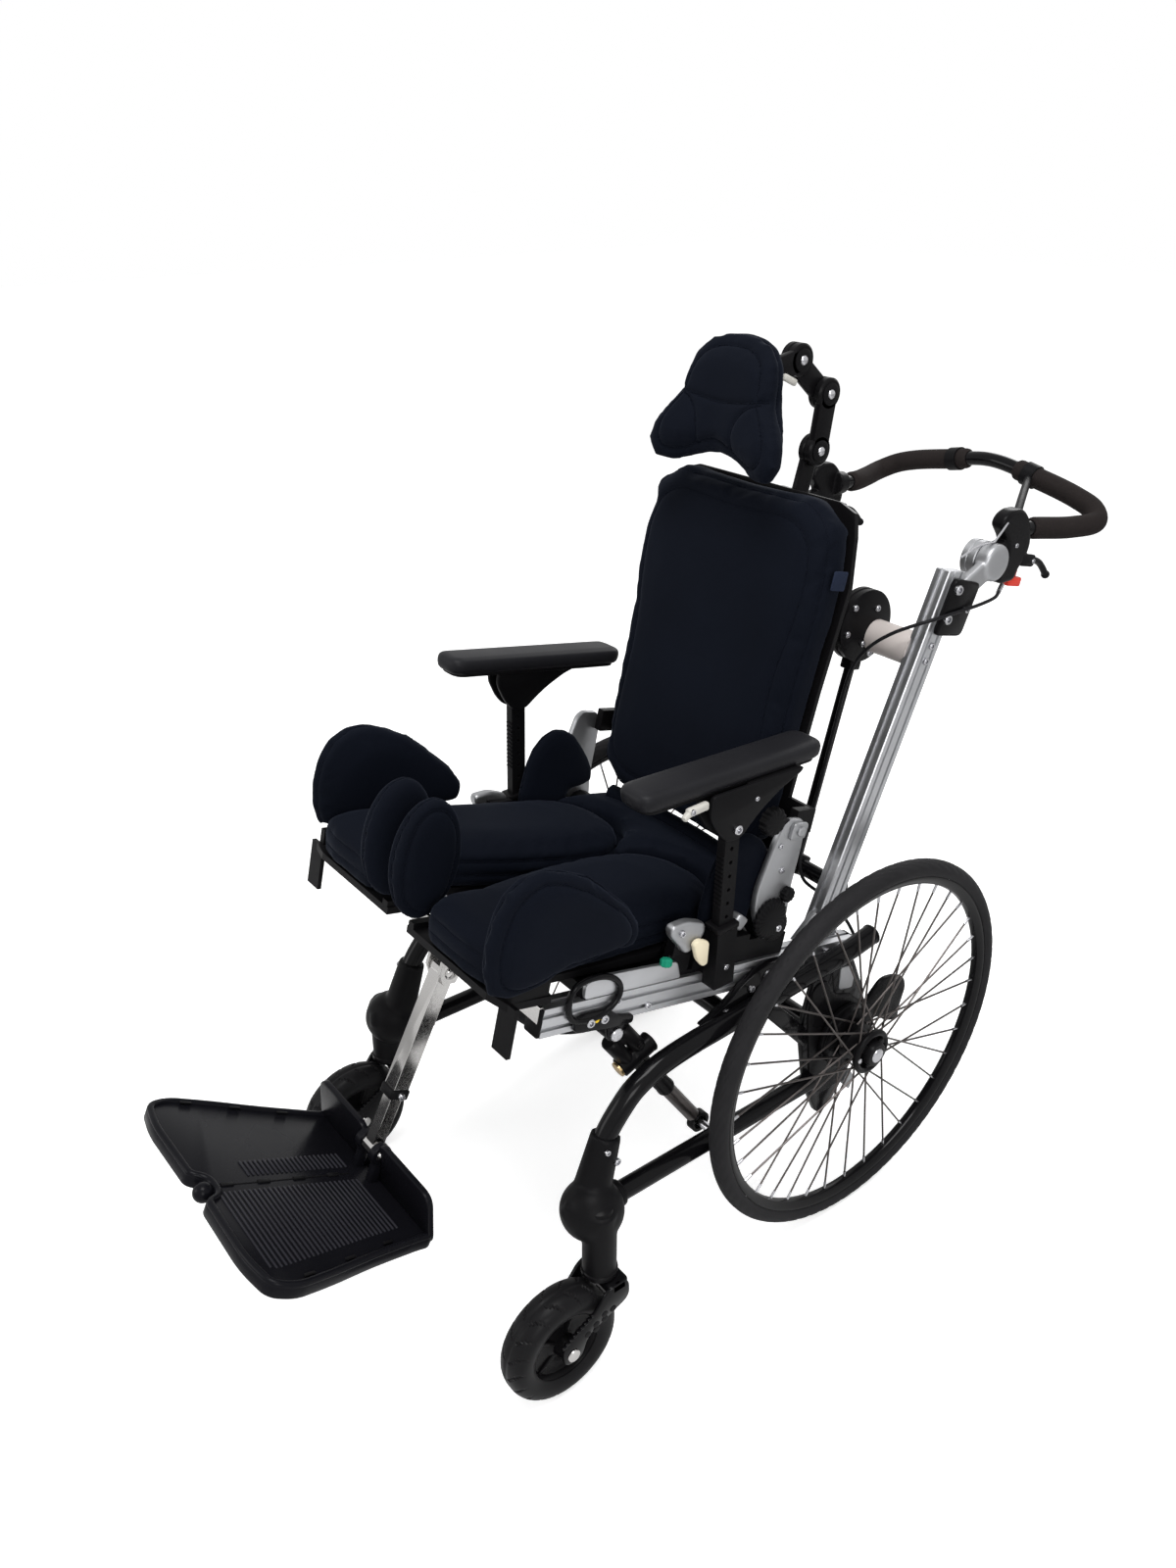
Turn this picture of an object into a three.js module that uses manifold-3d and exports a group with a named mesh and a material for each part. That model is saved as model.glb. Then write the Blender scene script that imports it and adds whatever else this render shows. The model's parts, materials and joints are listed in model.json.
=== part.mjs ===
// Tilt-in-space wheelchair: chassis on two spoked wheels and two casters, and a seat unit that
// tilts on it, with its back, head, arm, thigh, knee, hip and foot supports.
// Millimetres. +X is the occupant's left, -Y is forward, +Z is up, the floor is Z = 0.
import * as THREE from 'three';
import { mergeVertices } from 'three/addons/utils/BufferGeometryUtils.js';
import Module from 'manifold-3d';

const wasm = await Module();
wasm.setup();

// Shared clearances
const gap = 0.3;
const overrun = 6;
const weld = 0.0001;

// Rear wheels, measured from the axle line
const wheel = {
  facets: 36, radius: 300, planeX: 281, tyreHalfWidth: 14.5, tyreShoulder: 290,
  treadHalfWidth: 5.5, rimRadius: 276, rimHalfWidth: 10, rimRoot: 263, rimRootHalfWidth: 5,
  spokeRadius: 1.3, spokeSides: 3, spokeCount: 36, spokeLean: 50, spokeOffset: 2.2, spokeDepth: 3,
  drumRadius: 50, drumInner: 242, drumOuter: 262, barrelRadius: 20, flangeRadius: 33,
  flangeInner: 267, flangeOuter: 296, flangeThickness: 3, capRadius: 19, capEnd: 317,
  hubSides: 12, axleRadius: 8, axleEnd: 301,
};

// Casters
const caster = {
  facets: 20, radius: 86.5, stemX: 275, stemY: -487, trail: 68, halfWidth: 24, treadHalfWidth: 10,
  shoulderRadius: 81, shoulderHalfWidth: 20, bulgeRadius: 73, rimRadius: 56, webHalfWidth: 10,
  bossRadius: 13, boltRadius: 4, legGap: 3.5, legThickness: 5.5,
  legWidth: 26, crownThickness: 13, crownFront: 6, crownBack: 24, stemRadius: 8, stemLength: 52,
  crownTop: 163.4, boltEnd: 4,
};

// Chassis frame; heights are measured from the axle line
const frame = {
  tubeX: 240, tubeRadius: 15, tubeSides: 8, tubeSteps: 14,
  topTube: [[-470, 2], [-462, 30], [-447, 57], [-429, 80], [-406, 102], [-377, 116], [-351, 123],
    [-298, 129], [-253, 131], [-120, 139], [4, 147], [46, 154]],
  lowerTube: [[-440, -61], [-58, -64]], lowerTubeRadius: 14,
  plateInner: 226, plateThickness: 10,
  plateOutline: [[-60, 140], [-68, 100], [-78, 60], [-81, 24], [-65, -58], [-52, -97], [-29, -148],
    [-5, -148], [22, -114], [42, -60], [54, 0], [46, 60], [24, 110], [8, 145]],
  brace: [[-160, 118], [-68, 14]], braceWidth: 24, braceThickness: 8, braceX: 234,
  bossRadius: 18,
  crossY: -215, crossZ: 118, crossRadius: 13, axleTubeY: -20, axleTubeZ: 0, axleTubeRadius: 14,
  bracketOuter: 231,
  bracketOutline: [[-284, 135], [-240, 150], [-205, 172], [-178, 182], [-155, 185], [-128, 181],
    [-104, 164], [-92, 146]],
  strutPin: [-252, -58], strutPinRadius: 6, strutPinInner: 198,
};

// Caster housing
const housing = {
  centre: [250, -485, -42], radius: 38, squashShare: 0.94, sleeveRadius: 21,
  sleeveStart: [244, -478, -30], sleeveEnd: [240, -449, 54], rearBossRadius: 19, rearBossEnd: -424,
  stemRadius: 23, stemTop: -26, boreDepth: 55, sides: 10,
};

// Seat frame; v runs back and w runs up from the rail centre line
const seat = {
  originY: -217, originZ: 180.4, tiltDeg: 13.37, pivotV: 64, pivotW: -2, pivotRadius: 8,
  pivotInner: 206, pivotWasher: 1.3,
};
const rail = {
  inner: 190, width: 28, halfHeight: 20, front: -322, back: 258, grooveWidth: 5, grooveDepth: 4,
  grooveW: 9,
};
const railOuter = rail.inner + rail.width;
const upright = {
  inner: 184, width: 20, depth: 27, footV: 191.7, leanShare: 0.1635, topW: 565, grooveWidth: 6,
  grooveDepth: 3, gussetReach: 34, gussetHeight: 60, gussetThickness: 12,
};
const crossbar = {
  w: 450, radius: 24, clampX: 90, clampThickness: 22, clampRadius: 52.5, clampV: 237,
  clampLift: 13, clampSides: 20, rodX: 101, rodRadius: 7.5, rodReach: 45, lowW: 92, lowRadius: 12,
  sides: 14,
};
const strut = {
  x: 205, topV: -196, topW: -41, sleeveRadius: 15, sleeveEnd: 180, boreStart: 50, boreRadius: 11.3,
  rodRadius: 11, rodLength: 196, eyeRadius: 12, eyeHalfWidth: 7.7, lowerEyeRadius: 16,
  lowerEyeHalfWidth: 6, lowerEyeSlack: 4.6, pinRadius: 6, lockAt: 77, lockRadius: 14, lockHalf: 31,
  lockDeg: 34.5, sides: 8,
};
const loopPlate = {
  thickness: 5.7,
  outer: [[-300, -16], [-300, 40], [-288, 62], [-262, 72], [-228, 68], [-213, 50], [-206, 14],
    [-176, 8], [-176, -26], [-216, -26], [-222, -16]],
  hole: [[-290, 14], [-290, 38], [-281, 54], [-262, 62], [-234, 59], [-224, 46], [-228, 14]],
  footV: [-216, -176], footThickness: 5.7, lugThickness: 5.7,
  lug: [[-214, -22], [-178, -22], [-184, -48], [-196, -54], [-208, -48]],
};
const base = {
  halfWidth: 212, front: -262, back: 100, plateThickness: 6, lipHeight: 10, lipThickness: 6,
  ribFront: -75, ribWidth: 22, ribTop: 60.6, ribBack: 26, rearRibTop: 52,
  pivotX: 98, pivotV: -75, bossRadius: 22, pinRadius: 8, padRibX: 120, padRibWidth: 14,
  padRibFront: 24, padRibBack: 95, hubRadius: 26, hubInner: 192, hubOuter: 213.2, hubPin: 8,
  hubPinEnd: 224, hubV: 55, hubW: 75,
  castFront: -125, castBack: -84, castBottom: 56, castTop: 98, castInner: 204, castOuter: 219,
};
const armSocket = {
  outer: 242, wall: 4.4, depthWall: 5, footV: -38, leanDeg: 12, bottom: 10, floor: 4, top: 102,
  lugV: [-60, -15], lugTop: 54, lugInner: 204,
};
const armPost = {
  width: 14, depth: 24, bottom: 41, top: 245, boltRadius: 5, holeRadius: 3, holeCount: 7,
  holePitch: 20, holeStart: 95, farRaise: 16,
};
const armPad = {
  inner: 181, outer: 237, length: 305, rise: 80, thickness: 24, centreShift: 4, nearPitch: -10.9,
  farPitch: -3, cornerInset: 14, crown: 3, bracketInner: 214, bracketOuter: 243, bracketHalf: 45,
  bracketPlate: 6, slotTop: 44, bracketRound: 13,
};
const frontBar = {
  halfWidth: 215, thickness: 5.7, bottom: 0, top: 22, lugInner: 12.3, lugOuter: 18,
  hinge: [-316, -38], lugs: [[-326, 20], [-309, 20], [-300, -38], [-306, -54], [-326, -54],
    [-333, -38]],
  pinRadius: 6,
};
const footPost = {
  width: 24, slideWidth: 18, eyeRadius: 14, eyeHalfWidth: 12, upperEnd: 190, boreStart: 60,
  slideStart: 100, plateHinge: [-384, -300], slideEyeRadius: 12,
};
const footplate = {
  pitchDeg: 12.9, top: -38, bottom: -58, recess: 3, rimWidth: 14,
  outline: [[146, -26], [150, 0], [168, 80], [188, 150], [201, 215], [198, 240], [182, 252],
    [120, 252], [40, 246], [24, 240], [16, 228]],
  wall: [[-27, -57], [-16, -57], [-14, -38], [16, 20], [7, 20]], wallHalf: 146,
  slotBottom: -22, knuckleRadius: 15, knuckleWidth: 12, pinRadius: 6,
  roller: [235, -49], rollerRadius: 13,
};

// Back and head support
const back = {
  front: 34, rear: 88, bottom: 141, top: 637, halfWidth: 178, shoulderHalf: 186, shoulderW: 531,
  corner: 42, bottomHalf: 172, topHalf: 175, crown: 9, edge: 14,
  shellThickness: 7.5, shellInset: 5, tabW: [204, 238], tabFront: 60, tabInner: 200,
  clampX: [5, 33], clampDepth: 56, clampW: [505, 545],
};
const hipArm = {
  inner: 213.5, thickness: 10,
  outline: [[34, 74], [24, 100], [28, 125], [42, 175], [50, 228], [60, 240], [76, 238], [82, 226],
    [72, 180], [62, 130], [74, 100], [79, 76], [68, 55], [44, 55]],
};
const head = {
  barInner: 14, barThickness: 10, linkThickness: 11.7, barDepth: 26, eyeRadius: 20, pinRadius: 7,
  postFoot: [129, 400], postTop: [141, 684], elbow: [134.5, 758], nod: [67, 792],
  bracketEnd: [16, 768], pinReach: 2,
  front: -48, rear: 12, frontCentre: -28, wingHalf: 113, crown: 6, edge: 16,
  outline: [[0, 655], [45, 647], [85, 635], [112, 643], [118, 672], [104, 705], [85, 735],
    [79, 765], [63, 795], [32, 810], [0, 814]],
};

// Soft supports
const cushion = {
  bottom: 55, top: 117, crown: 6, edge: 16, clearRadius: 92.8,
  clearSides: 40,
  outline: [[0, -52], [120, -48], [172, -40], [187, -22], [189.5, 30], [186, 92], [170, 110],
    [60, 112], [0, 111]],
};
const thighPlate = {
  bottom: 40, thickness: 9.7, pinLength: 17,
  outline: [[38, -75], [46, -120], [52, -330], [24, -350], [24, -400], [200, -400], [232, -392],
    [234, -330], [196, -322], [190, -120], [158, -75], [140, -33], [98, -15], [56, -33]],
  kneeLug: [26, 38], kneeLugV: [-400, -352], guideLug: [222, 232], guideLugV: [-388, -334],
  guideLugTop: 72,
  flapX: [216, 246], flapV: [-392, -386], flapBottom: -15,
};
const thighCushion = {
  bottom: 50.3, top: 116, crown: 7, edge: 18,
  outline: [[7, -90], [6, -113], [23, -230], [43, -308], [54, -344], [55, -394], [68, -410],
    [130, -414], [196, -408], [214, -384], [209, -300], [198, -180], [189, -92], [184, -44],
    [165, -12], [132, 9], [98, 15], [64, 9], [31, -12], [12, -44]],
};
const thighGuide = {
  x: 236, splayShare: 0.05, thickness: 34, crown: 5, edge: 13, farShift: 44, anchorV: -330,
  outline: [[-210, 96], [-203, 118], [-224, 150], [-268, 184], [-324, 214], [-384, 226],
    [-428, 210], [-450, 168], [-452, 116], [-438, 72], [-400, 60], [-330, 74], [-260, 86]],
};
const kneePad = {
  inner: 17, outer: 51, v: -395.5, w: 144, halfV: 53.5, halfW: 86, crown: 4, edge: 12, points: 12,
};
const hipGuide = {
  inner: 192, outer: 212, crown: 2.5, edge: 8,
  outline: [[-66, 63], [-79, 84], [-80, 130], [-68, 184], [-38, 214], [0, 212], [38, 180],
    [66, 138], [62, 114], [24, 108], [20, 90], [14, 63], [-26, 62.6]],
};

// Push handle
const lean = (w) => upright.footV + upright.leanShare * (w - rail.halfHeight);
const knuckle = {
  v: 357, w: 582, radius: 26.5, inner: 190.3, outer: 214, neckX: 202.2, neckRadius: 11.5,
  neckBottom: 470, neckOffset: 66, clampW: [476, 545], clampThickness: 8, pinRadius: 8,
  pinEnd: 168,
};
const bow = {
  eyeInner: 166, eyeOuter: 190, tubeRadius: 11, gripRadius: 16, sides: 8, steps: 24, gripSteps: 7,
  half: [[168, 440, 627], [176, 490, 632], [196, 545, 641], [206, 588, 654], [188, 603, 669],
    [153, 604, 681], [85, 603, 695], [0, 596, 708]],
  gripStartShare: 0.045, gripEndShare: 0.37,
  arm: [[176, 357, 582], [171, 440, 603]], armRadius: 13,
  clampX: [157, 181], clampV: [430, 468], clampW: [596, 640],
  boxX: [172, 190], boxV: [424, 468], boxW: [570, 598],
  lever: [478, 586], lugThickness: 5, lugRadius: 9, pinRadius: 3,
  braceFrom: [162, 462, 628], braceTo: [86, 600, 694], braceWidth: 16, braceThickness: 6,
};
const lever = { thickness: 7.4, eyeRadius: 8, depth: 9, bend: [509, 584], tip: [538, 566], ball: 8 };
const catchButton = {
  width: 14, v: [440, 472], w: [546, 560], stemInset: 4, stemWidth: 6, stemV: [450, 460],
  stemReach: 10, slotReach: 16,
};
const cable = {
  radius: 2.5, sides: 5, steps: 36,
  route: [[198, 404, 550], [206, 388, 544], [216.4, 366, 536], [216.6, 334, 525], [215.4, 296, 515],
    [215.2, 262, 507], [212, 240, 500], [196, 226, 488], [172, 216, 470], [146, 212, 445],
    [126, 214, 415], [116, 219, 380], [113, 222, 320], [113, 222, 240], [113, 221, 160],
    [118, 213, 115], [134, 212, 84], [158, 240, 62], [184, 264, 38], [199, 279, 14], [204, 281, 2],
    [204, 272, 0], [204, 260, 0], [204, 248, 0]],
};

const finish = {
  frame: [0x0b0b0c, 0.25, 0.3], plastic: [0x16161a, 0.55, 0], rubber: [0x343638, 0.8, 0],
  aluminium: [0xa9abae, 0.35, 0.9], chrome: [0xd6d8da, 0.12, 1], cast: [0x9a9c9f, 0.45, 0.8],
  fabric: [0x10131c, 0.9, 0], satin: [0x222226, 0.6, 0], foam: [0x2c2624, 0.85, 0],
  red: [0xc83a30, 0.45, 0], tube: [0xbcb4ac, 0.5, 0.2],
};

const rad = THREE.MathUtils.degToRad;
const axleHeight = wheel.radius * Math.cos(Math.PI / wheel.facets);
const casterAxle = caster.radius * Math.cos(Math.PI / caster.facets) - axleHeight;
const casterY = caster.stemY - caster.trail;
const crownTop = caster.crownTop - axleHeight;
const baseBottom = rail.halfHeight + gap;

// A faceted bore that a pin of this radius can turn in
const clear = (radius, sides = 8) => (radius + gap) / Math.cos(Math.PI / sides);

// Solids

function toSolid(geometry) {
  const plain = geometry.index ? geometry.toNonIndexed() : geometry.clone();
  plain.deleteAttribute('normal');
  plain.deleteAttribute('uv');
  const merged = mergeVertices(plain, weld);
  const position = merged.attributes.position.array;
  const index = Array.from(merged.index.array);
  const corner = (n) => new THREE.Vector3().fromArray(position, 3 * index[n]);
  let volume = 0;
  const kept = [];
  for (let n = 0; n < index.length; n += 3) {
    const [a, b, c] = [index[n], index[n + 1], index[n + 2]];
    if (a === b || b === c || a === c) continue;
    volume += corner(n).dot(corner(n + 1).cross(corner(n + 2)));
    kept.push(a, b, c);
  }
  if (volume < 0) kept.reverse();
  const mesh = new wasm.Mesh({
    numProp: 3, vertProperties: new Float32Array(position), triVerts: new Uint32Array(kept),
  });
  return new wasm.Manifold(mesh);
}

function toGeometry(solid, side) {
  const mesh = solid.getMesh();
  const position = Float32Array.from(mesh.vertProperties);
  const index = Array.from(mesh.triVerts);
  if (side < 0) {
    for (let n = 0; n < position.length; n += 3) position[n] = -position[n];
    index.reverse();
  }
  const geometry = new THREE.BufferGeometry();
  geometry.setAttribute('position', new THREE.BufferAttribute(position, 3));
  geometry.setIndex(index);
  geometry.computeVertexNormals();
  return geometry;
}

function join(...solids) {
  return solids.flat().reduce((sum, next) => sum.add(next));
}

function cut(solid, ...tools) {
  return tools.flat().reduce((rest, next) => rest.subtract(next), solid);
}

function piece(group, name, look, solid, side = 1) {
  const [color, roughness, metalness] = look;
  const material = new THREE.MeshStandardMaterial({ color, roughness, metalness });
  const mesh = new THREE.Mesh(toGeometry(solid, side), material);
  mesh.name = name;
  group.add(mesh);
}

function pair(group, name, look, solid) {
  piece(group, `${name}_left`, look, solid, 1);
  piece(group, `${name}_right`, look, solid, -1);
}

function block([x0, x1], [y0, y1], [z0, z1]) {
  const geometry = new THREE.BoxGeometry(x1 - x0, y1 - y0, z1 - z0);
  return toSolid(geometry.translate((x0 + x1) / 2, (y0 + y1) / 2, (z0 + z1) / 2));
}

function extrude(outline, depth, basis) {
  const shape = new THREE.Shape(outline.map(([a, b]) => new THREE.Vector2(a, b)));
  const geometry = new THREE.ExtrudeGeometry(shape, { depth, bevelEnabled: false });
  return toSolid(geometry.applyMatrix4(basis));
}

// Plates: the outline lies across the named axis
const acrossX = (x) => new THREE.Matrix4().makeBasis(
  new THREE.Vector3(0, 1, 0), new THREE.Vector3(0, 0, 1), new THREE.Vector3(1, 0, 0),
).setPosition(x, 0, 0);
const acrossY = (y) => new THREE.Matrix4().makeBasis(
  new THREE.Vector3(1, 0, 0), new THREE.Vector3(0, 0, 1), new THREE.Vector3(0, -1, 0),
).setPosition(0, y, 0);
const acrossZ = (z) => new THREE.Matrix4().setPosition(0, 0, z);
const plateX = (x0, x1, outline) => extrude(outline, x1 - x0, acrossX(x0));
const plateY = (y0, y1, outline) => extrude(outline, y1 - y0, acrossY(y1));
const plateZ = (z0, z1, outline) => extrude(outline, z1 - z0, acrossZ(z0));

function rod(from, to, radius, sides = 8) {
  const start = new THREE.Vector3(...from);
  const end = new THREE.Vector3(...to);
  const along = end.clone().sub(start);
  const geometry = new THREE.CylinderGeometry(radius, radius, along.length(), sides);
  const turn = new THREE.Quaternion().setFromUnitVectors(
    new THREE.Vector3(0, 1, 0), along.clone().normalize(),
  );
  const middle = start.add(end).multiplyScalar(1 / 2);
  return toSolid(geometry.applyQuaternion(turn).translate(middle.x, middle.y, middle.z));
}

const pin = (x0, x1, [y, z], radius, sides) => rod([x0, y, z], [x1, y, z], radius, sides);

// A rectangular bar: its width lies square to its length in the X direction
function bar(from, to, width, depth) {
  const start = new THREE.Vector3(...from);
  const end = new THREE.Vector3(...to);
  const along = end.clone().sub(start);
  const length = along.length();
  const z = along.clone().normalize();
  const y = z.clone().cross(new THREE.Vector3(1, 0, 0)).normalize();
  const x = y.clone().cross(z);
  const middle = start.add(end).multiplyScalar(1 / 2);
  const basis = new THREE.Matrix4().makeBasis(x, y, z).setPosition(middle);
  return toSolid(new THREE.BoxGeometry(width, depth, length).applyMatrix4(basis));
}

function circle(radius, sides) {
  const points = [];
  for (let n = 0; n < sides; n += 1) {
    const angle = (2 * Math.PI * n) / sides;
    points.push(new THREE.Vector2(radius * Math.cos(angle), radius * Math.sin(angle)));
  }
  return new THREE.Shape(points);
}

function tube(points, radius, sides, steps) {
  const curve = new THREE.CatmullRomCurve3(points.map((p) => new THREE.Vector3(...p)));
  const options = { steps, extrudePath: curve, bevelEnabled: false };
  return toSolid(new THREE.ExtrudeGeometry(circle(radius, sides), options));
}

// A turned solid about the X axis: profile of [x, radius], with a flat facet at the bottom
function turned(profile, sides) {
  const points = profile.map(([x, radius]) => new THREE.Vector2(radius, x));
  const geometry = new THREE.LatheGeometry(points, sides, Math.PI / sides);
  return toSolid(geometry.rotateZ(-Math.PI / 2));
}

function ball([x, y, z], radius, squashShare = 1, sides = 8) {
  const geometry = new THREE.SphereGeometry(radius, sides, sides * 3 / 4);
  return toSolid(geometry.scale(1, 1, squashShare).translate(x, y, z));
}

// Pads: rings of a closed outline, drawn in at the edges and crowned in the middle

const mirrored = (half) => [
  ...half,
  ...half.slice().reverse().filter(([a]) => a > 0).map(([a, b]) => [-a, b]),
];

function smooth(outline, count) {
  const points = outline.map(([a, b]) => new THREE.Vector3(a, b, 0));
  const curve = new THREE.CatmullRomCurve3(points, true, 'centripetal');
  return curve.getSpacedPoints(count).slice(0, count).map((p) => [p.x, p.y]);
}

function middleOf(outline) {
  const sum = outline.reduce(([a, b], [c, d]) => [a + c, b + d], [0, 0]);
  return sum.map((value) => value / outline.length);
}

function drawnIn(outline, distance) {
  const count = outline.length;
  return outline.map(([a, b], n) => {
    const [pa, pb] = outline[(n + count - 1) % count];
    const [na, nb] = outline[(n + 1) % count];
    const normal = new THREE.Vector2(-(nb - pb), na - pa).normalize();
    return [a + distance * normal.x, b + distance * normal.y];
  });
}

function shrunk(outline, share) {
  const [ma, mb] = middleOf(outline);
  return outline.map(([a, b]) => [ma + (a - ma) * share, mb + (b - mb) * share]);
}

function area(outline) {
  return outline.reduce((sum, [a, b], n) => {
    const [c, d] = outline[(n + 1) % outline.length];
    return sum + a * d - b * c;
  }, 0);
}

// Rings are [inset, share, height]; toPoint lays outline and height in space
function padSolid(outline, rings, toPoint) {
  const loop = area(outline) > 0 ? outline : outline.slice().reverse();
  const count = loop.length;
  const layers = rings.map(([inset, share, height]) => (
    shrunk(drawnIn(loop, inset), share).map(([a, b]) => toPoint(a, b, height))
  ));
  const [ma, mb] = middleOf(loop);
  const low = toPoint(ma, mb, rings[0][2]);
  const high = toPoint(ma, mb, rings[rings.length - 1][2]);
  const points = [...layers.flat(), low, high];
  const index = [];
  for (let n = 0; n < count; n += 1) {
    const next = (n + 1) % count;
    for (let k = 0; k + 1 < layers.length; k += 1) {
      const [a, b] = [k * count + n, k * count + next];
      index.push(a, b, b + count, a, b + count, a + count);
    }
    index.push(points.length - 2, next, n);
    const last = (layers.length - 1) * count;
    index.push(points.length - 1, last + n, last + next);
  }
  const geometry = new THREE.BufferGeometry();
  const position = new Float32Array(points.flat());
  geometry.setAttribute('position', new THREE.BufferAttribute(position, 3));
  geometry.setIndex(index);
  return toSolid(geometry);
}

const padShares = { foot: 0.5, waist: 0.1, wall: 0.55, crown: 0.62, fall: 0.15 };

function pillow(outline, low, high, edge, crown, toPoint, count = 24) {
  const p = padShares;
  const shoulder = high - crown;
  const rings = [
    [edge * p.foot, 1, low],
    [edge * p.waist, 1, low + edge * p.foot],
    [0, 1, shoulder - edge * p.wall],
    [edge, 1, shoulder],
    [edge, p.crown, high - crown * p.fall],
  ];
  return padSolid(smooth(outline, count), rings, toPoint);
}

// A pad with both faces crowned, as the side pads have
function lens(outline, low, high, edge, crown, toPoint, count = 20) {
  const p = padShares;
  const rings = [
    [edge, p.crown, low + crown * p.fall],
    [edge, 1, low + crown],
    [0, 1, (low + high) / 2],
    [edge, 1, high - crown],
    [edge, p.crown, high - crown * p.fall],
  ];
  return padSolid(smooth(outline, count), rings, toPoint);
}

// Chassis

const frameAt = ([y, z]) => [frame.tubeX, y, z];

function topTube(radius, points) {
  return tube(points.map(frameAt), radius, frame.tubeSides, frame.tubeSteps);
}

function sideFrame() {
  const [lowStart, lowEnd] = frame.lowerTube.map(frameAt);
  const plateOuter = frame.plateInner + frame.plateThickness;
  const bracketInner = railOuter + seat.pivotWasher;
  const [braceStart, braceEnd] = frame.brace.map(([y, z]) => [frame.braceX, y, z]);
  return join(
    topTube(frame.tubeRadius, frame.topTube),
    rod(lowStart, lowEnd, frame.lowerTubeRadius),
    plateX(frame.plateInner, plateOuter, frame.plateOutline),
    bar(braceStart, braceEnd, frame.braceThickness, frame.braceWidth),
    plateX(bracketInner, frame.bracketOuter, frame.bracketOutline),
    pin(seat.pivotInner, frame.bracketOuter, pivotPoint(), seat.pivotRadius),
    pin(frame.strutPinInner, frame.tubeX, frame.strutPin, frame.strutPinRadius),
    pin(frame.plateInner, wheel.drumInner - gap, [0, 0], frame.bossRadius, wheel.hubSides),
    pin(frame.plateInner, wheel.axleEnd - gap, [0, 0], wheel.axleRadius, wheel.hubSides),
  );
}

function casterHousing() {
  const [cx, cy, cz] = housing.centre;
  const [lowY, lowZ] = frame.lowerTube[0];
  const bottom = crownTop + gap;
  const [first, second] = frame.topTube;
  const deeper = [first[0] - gap * Math.sign(second[0] - first[0]), first[1] - gap];
  const body = join(
    ball([cx, cy, cz], housing.radius, housing.squashShare, housing.sides),
    rod(housing.sleeveStart, housing.sleeveEnd, housing.sleeveRadius, housing.sides),
    rod([frame.tubeX, cy, lowZ], [frame.tubeX, housing.rearBossEnd, lowZ], housing.rearBossRadius,
      housing.sides),
    rod([caster.stemX, caster.stemY, bottom], [caster.stemX, caster.stemY, housing.stemTop],
      housing.stemRadius, wheel.hubSides),
  );
  const bore = rod([caster.stemX, caster.stemY, bottom - overrun],
    [caster.stemX, caster.stemY, bottom + housing.boreDepth], clear(caster.stemRadius));
  const lowBore = rod([frame.tubeX, lowY - gap, lowZ], frameAt(frame.lowerTube[1]),
    frame.lowerTubeRadius + gap);
  const topBore = topTube(frame.tubeRadius + gap, [deeper, ...frame.topTube.slice(1)]);
  return cut(body, bore, lowBore, topBore);
}

function casterFork() {
  const inner = caster.halfWidth + caster.legGap;
  const outer = inner + caster.legThickness;
  const low = crownTop - caster.crownThickness;
  const [front, rear] = [caster.stemY - caster.crownFront, caster.stemY + caster.crownBack];
  const half = caster.legWidth / 2;
  const leg = [
    [rear, crownTop], [front, crownTop], [front - half, low - half],
    [casterY - half, casterAxle + half], [casterY - half, casterAxle - half],
    [casterY + half, casterAxle - half], [rear, low - half],
  ];
  const { stemX, stemY } = caster;
  return join(
    block([stemX - outer, stemX + outer], [front, rear], [low, crownTop]),
    plateX(stemX - outer, stemX - inner, leg),
    plateX(stemX + inner, stemX + outer, leg),
    pin(stemX - outer - caster.boltEnd, stemX + outer + caster.boltEnd, [casterY, casterAxle],
      caster.boltRadius),
    rod([stemX, stemY, low], [stemX, stemY, crownTop + caster.stemLength], caster.stemRadius),
  );
}

function casterWheel() {
  const c = caster;
  const side = c.halfWidth + c.legGap - gap;
  const bore = clear(c.boltRadius);
  const half = [
    [c.treadHalfWidth, c.radius], [c.shoulderHalfWidth, c.shoulderRadius],
    [c.halfWidth, c.bulgeRadius], [c.webHalfWidth, c.rimRadius],
    [c.webHalfWidth, c.bossRadius], [side, c.bossRadius], [side, bore],
  ];
  const profile = [...half, ...half.slice().reverse().map(([x, r]) => [-x, r]), half[0]];
  return turned(profile, c.facets).translate([c.stemX, casterY, casterAxle]);
}

function rearTyre() {
  const w = wheel;
  const half = [
    [w.treadHalfWidth, w.radius], [w.tyreHalfWidth, w.tyreShoulder],
    [w.rimHalfWidth, w.rimRadius + gap],
  ];
  const profile = [...half, ...half.slice().reverse().map(([x, r]) => [-x, r]), half[0]];
  return turned(profile, w.facets).translate([w.planeX, 0, 0]);
}

function spokes() {
  const w = wheel;
  const rim = w.rimRoot + w.spokeDepth;
  const hub = w.flangeRadius - w.flangeThickness;
  const turn = (2 * Math.PI) / w.spokeCount;
  const polar = (x, radius, angle) => [x, radius * Math.cos(angle), radius * Math.sin(angle)];
  const middle = w.flangeThickness / 2;
  const made = [];
  for (let n = 0; n < w.spokeCount; n += 1) {
    const flange = n % 2 === 0 ? w.flangeInner + middle : w.flangeOuter - middle;
    const way = n % 4 < 2 ? 1 : -1;
    const start = polar(flange + way * w.spokeOffset, hub, n * turn + way * rad(w.spokeLean));
    made.push(rod(start, polar(w.planeX, rim, n * turn), w.spokeRadius, w.spokeSides));
  }
  return made;
}

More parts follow.
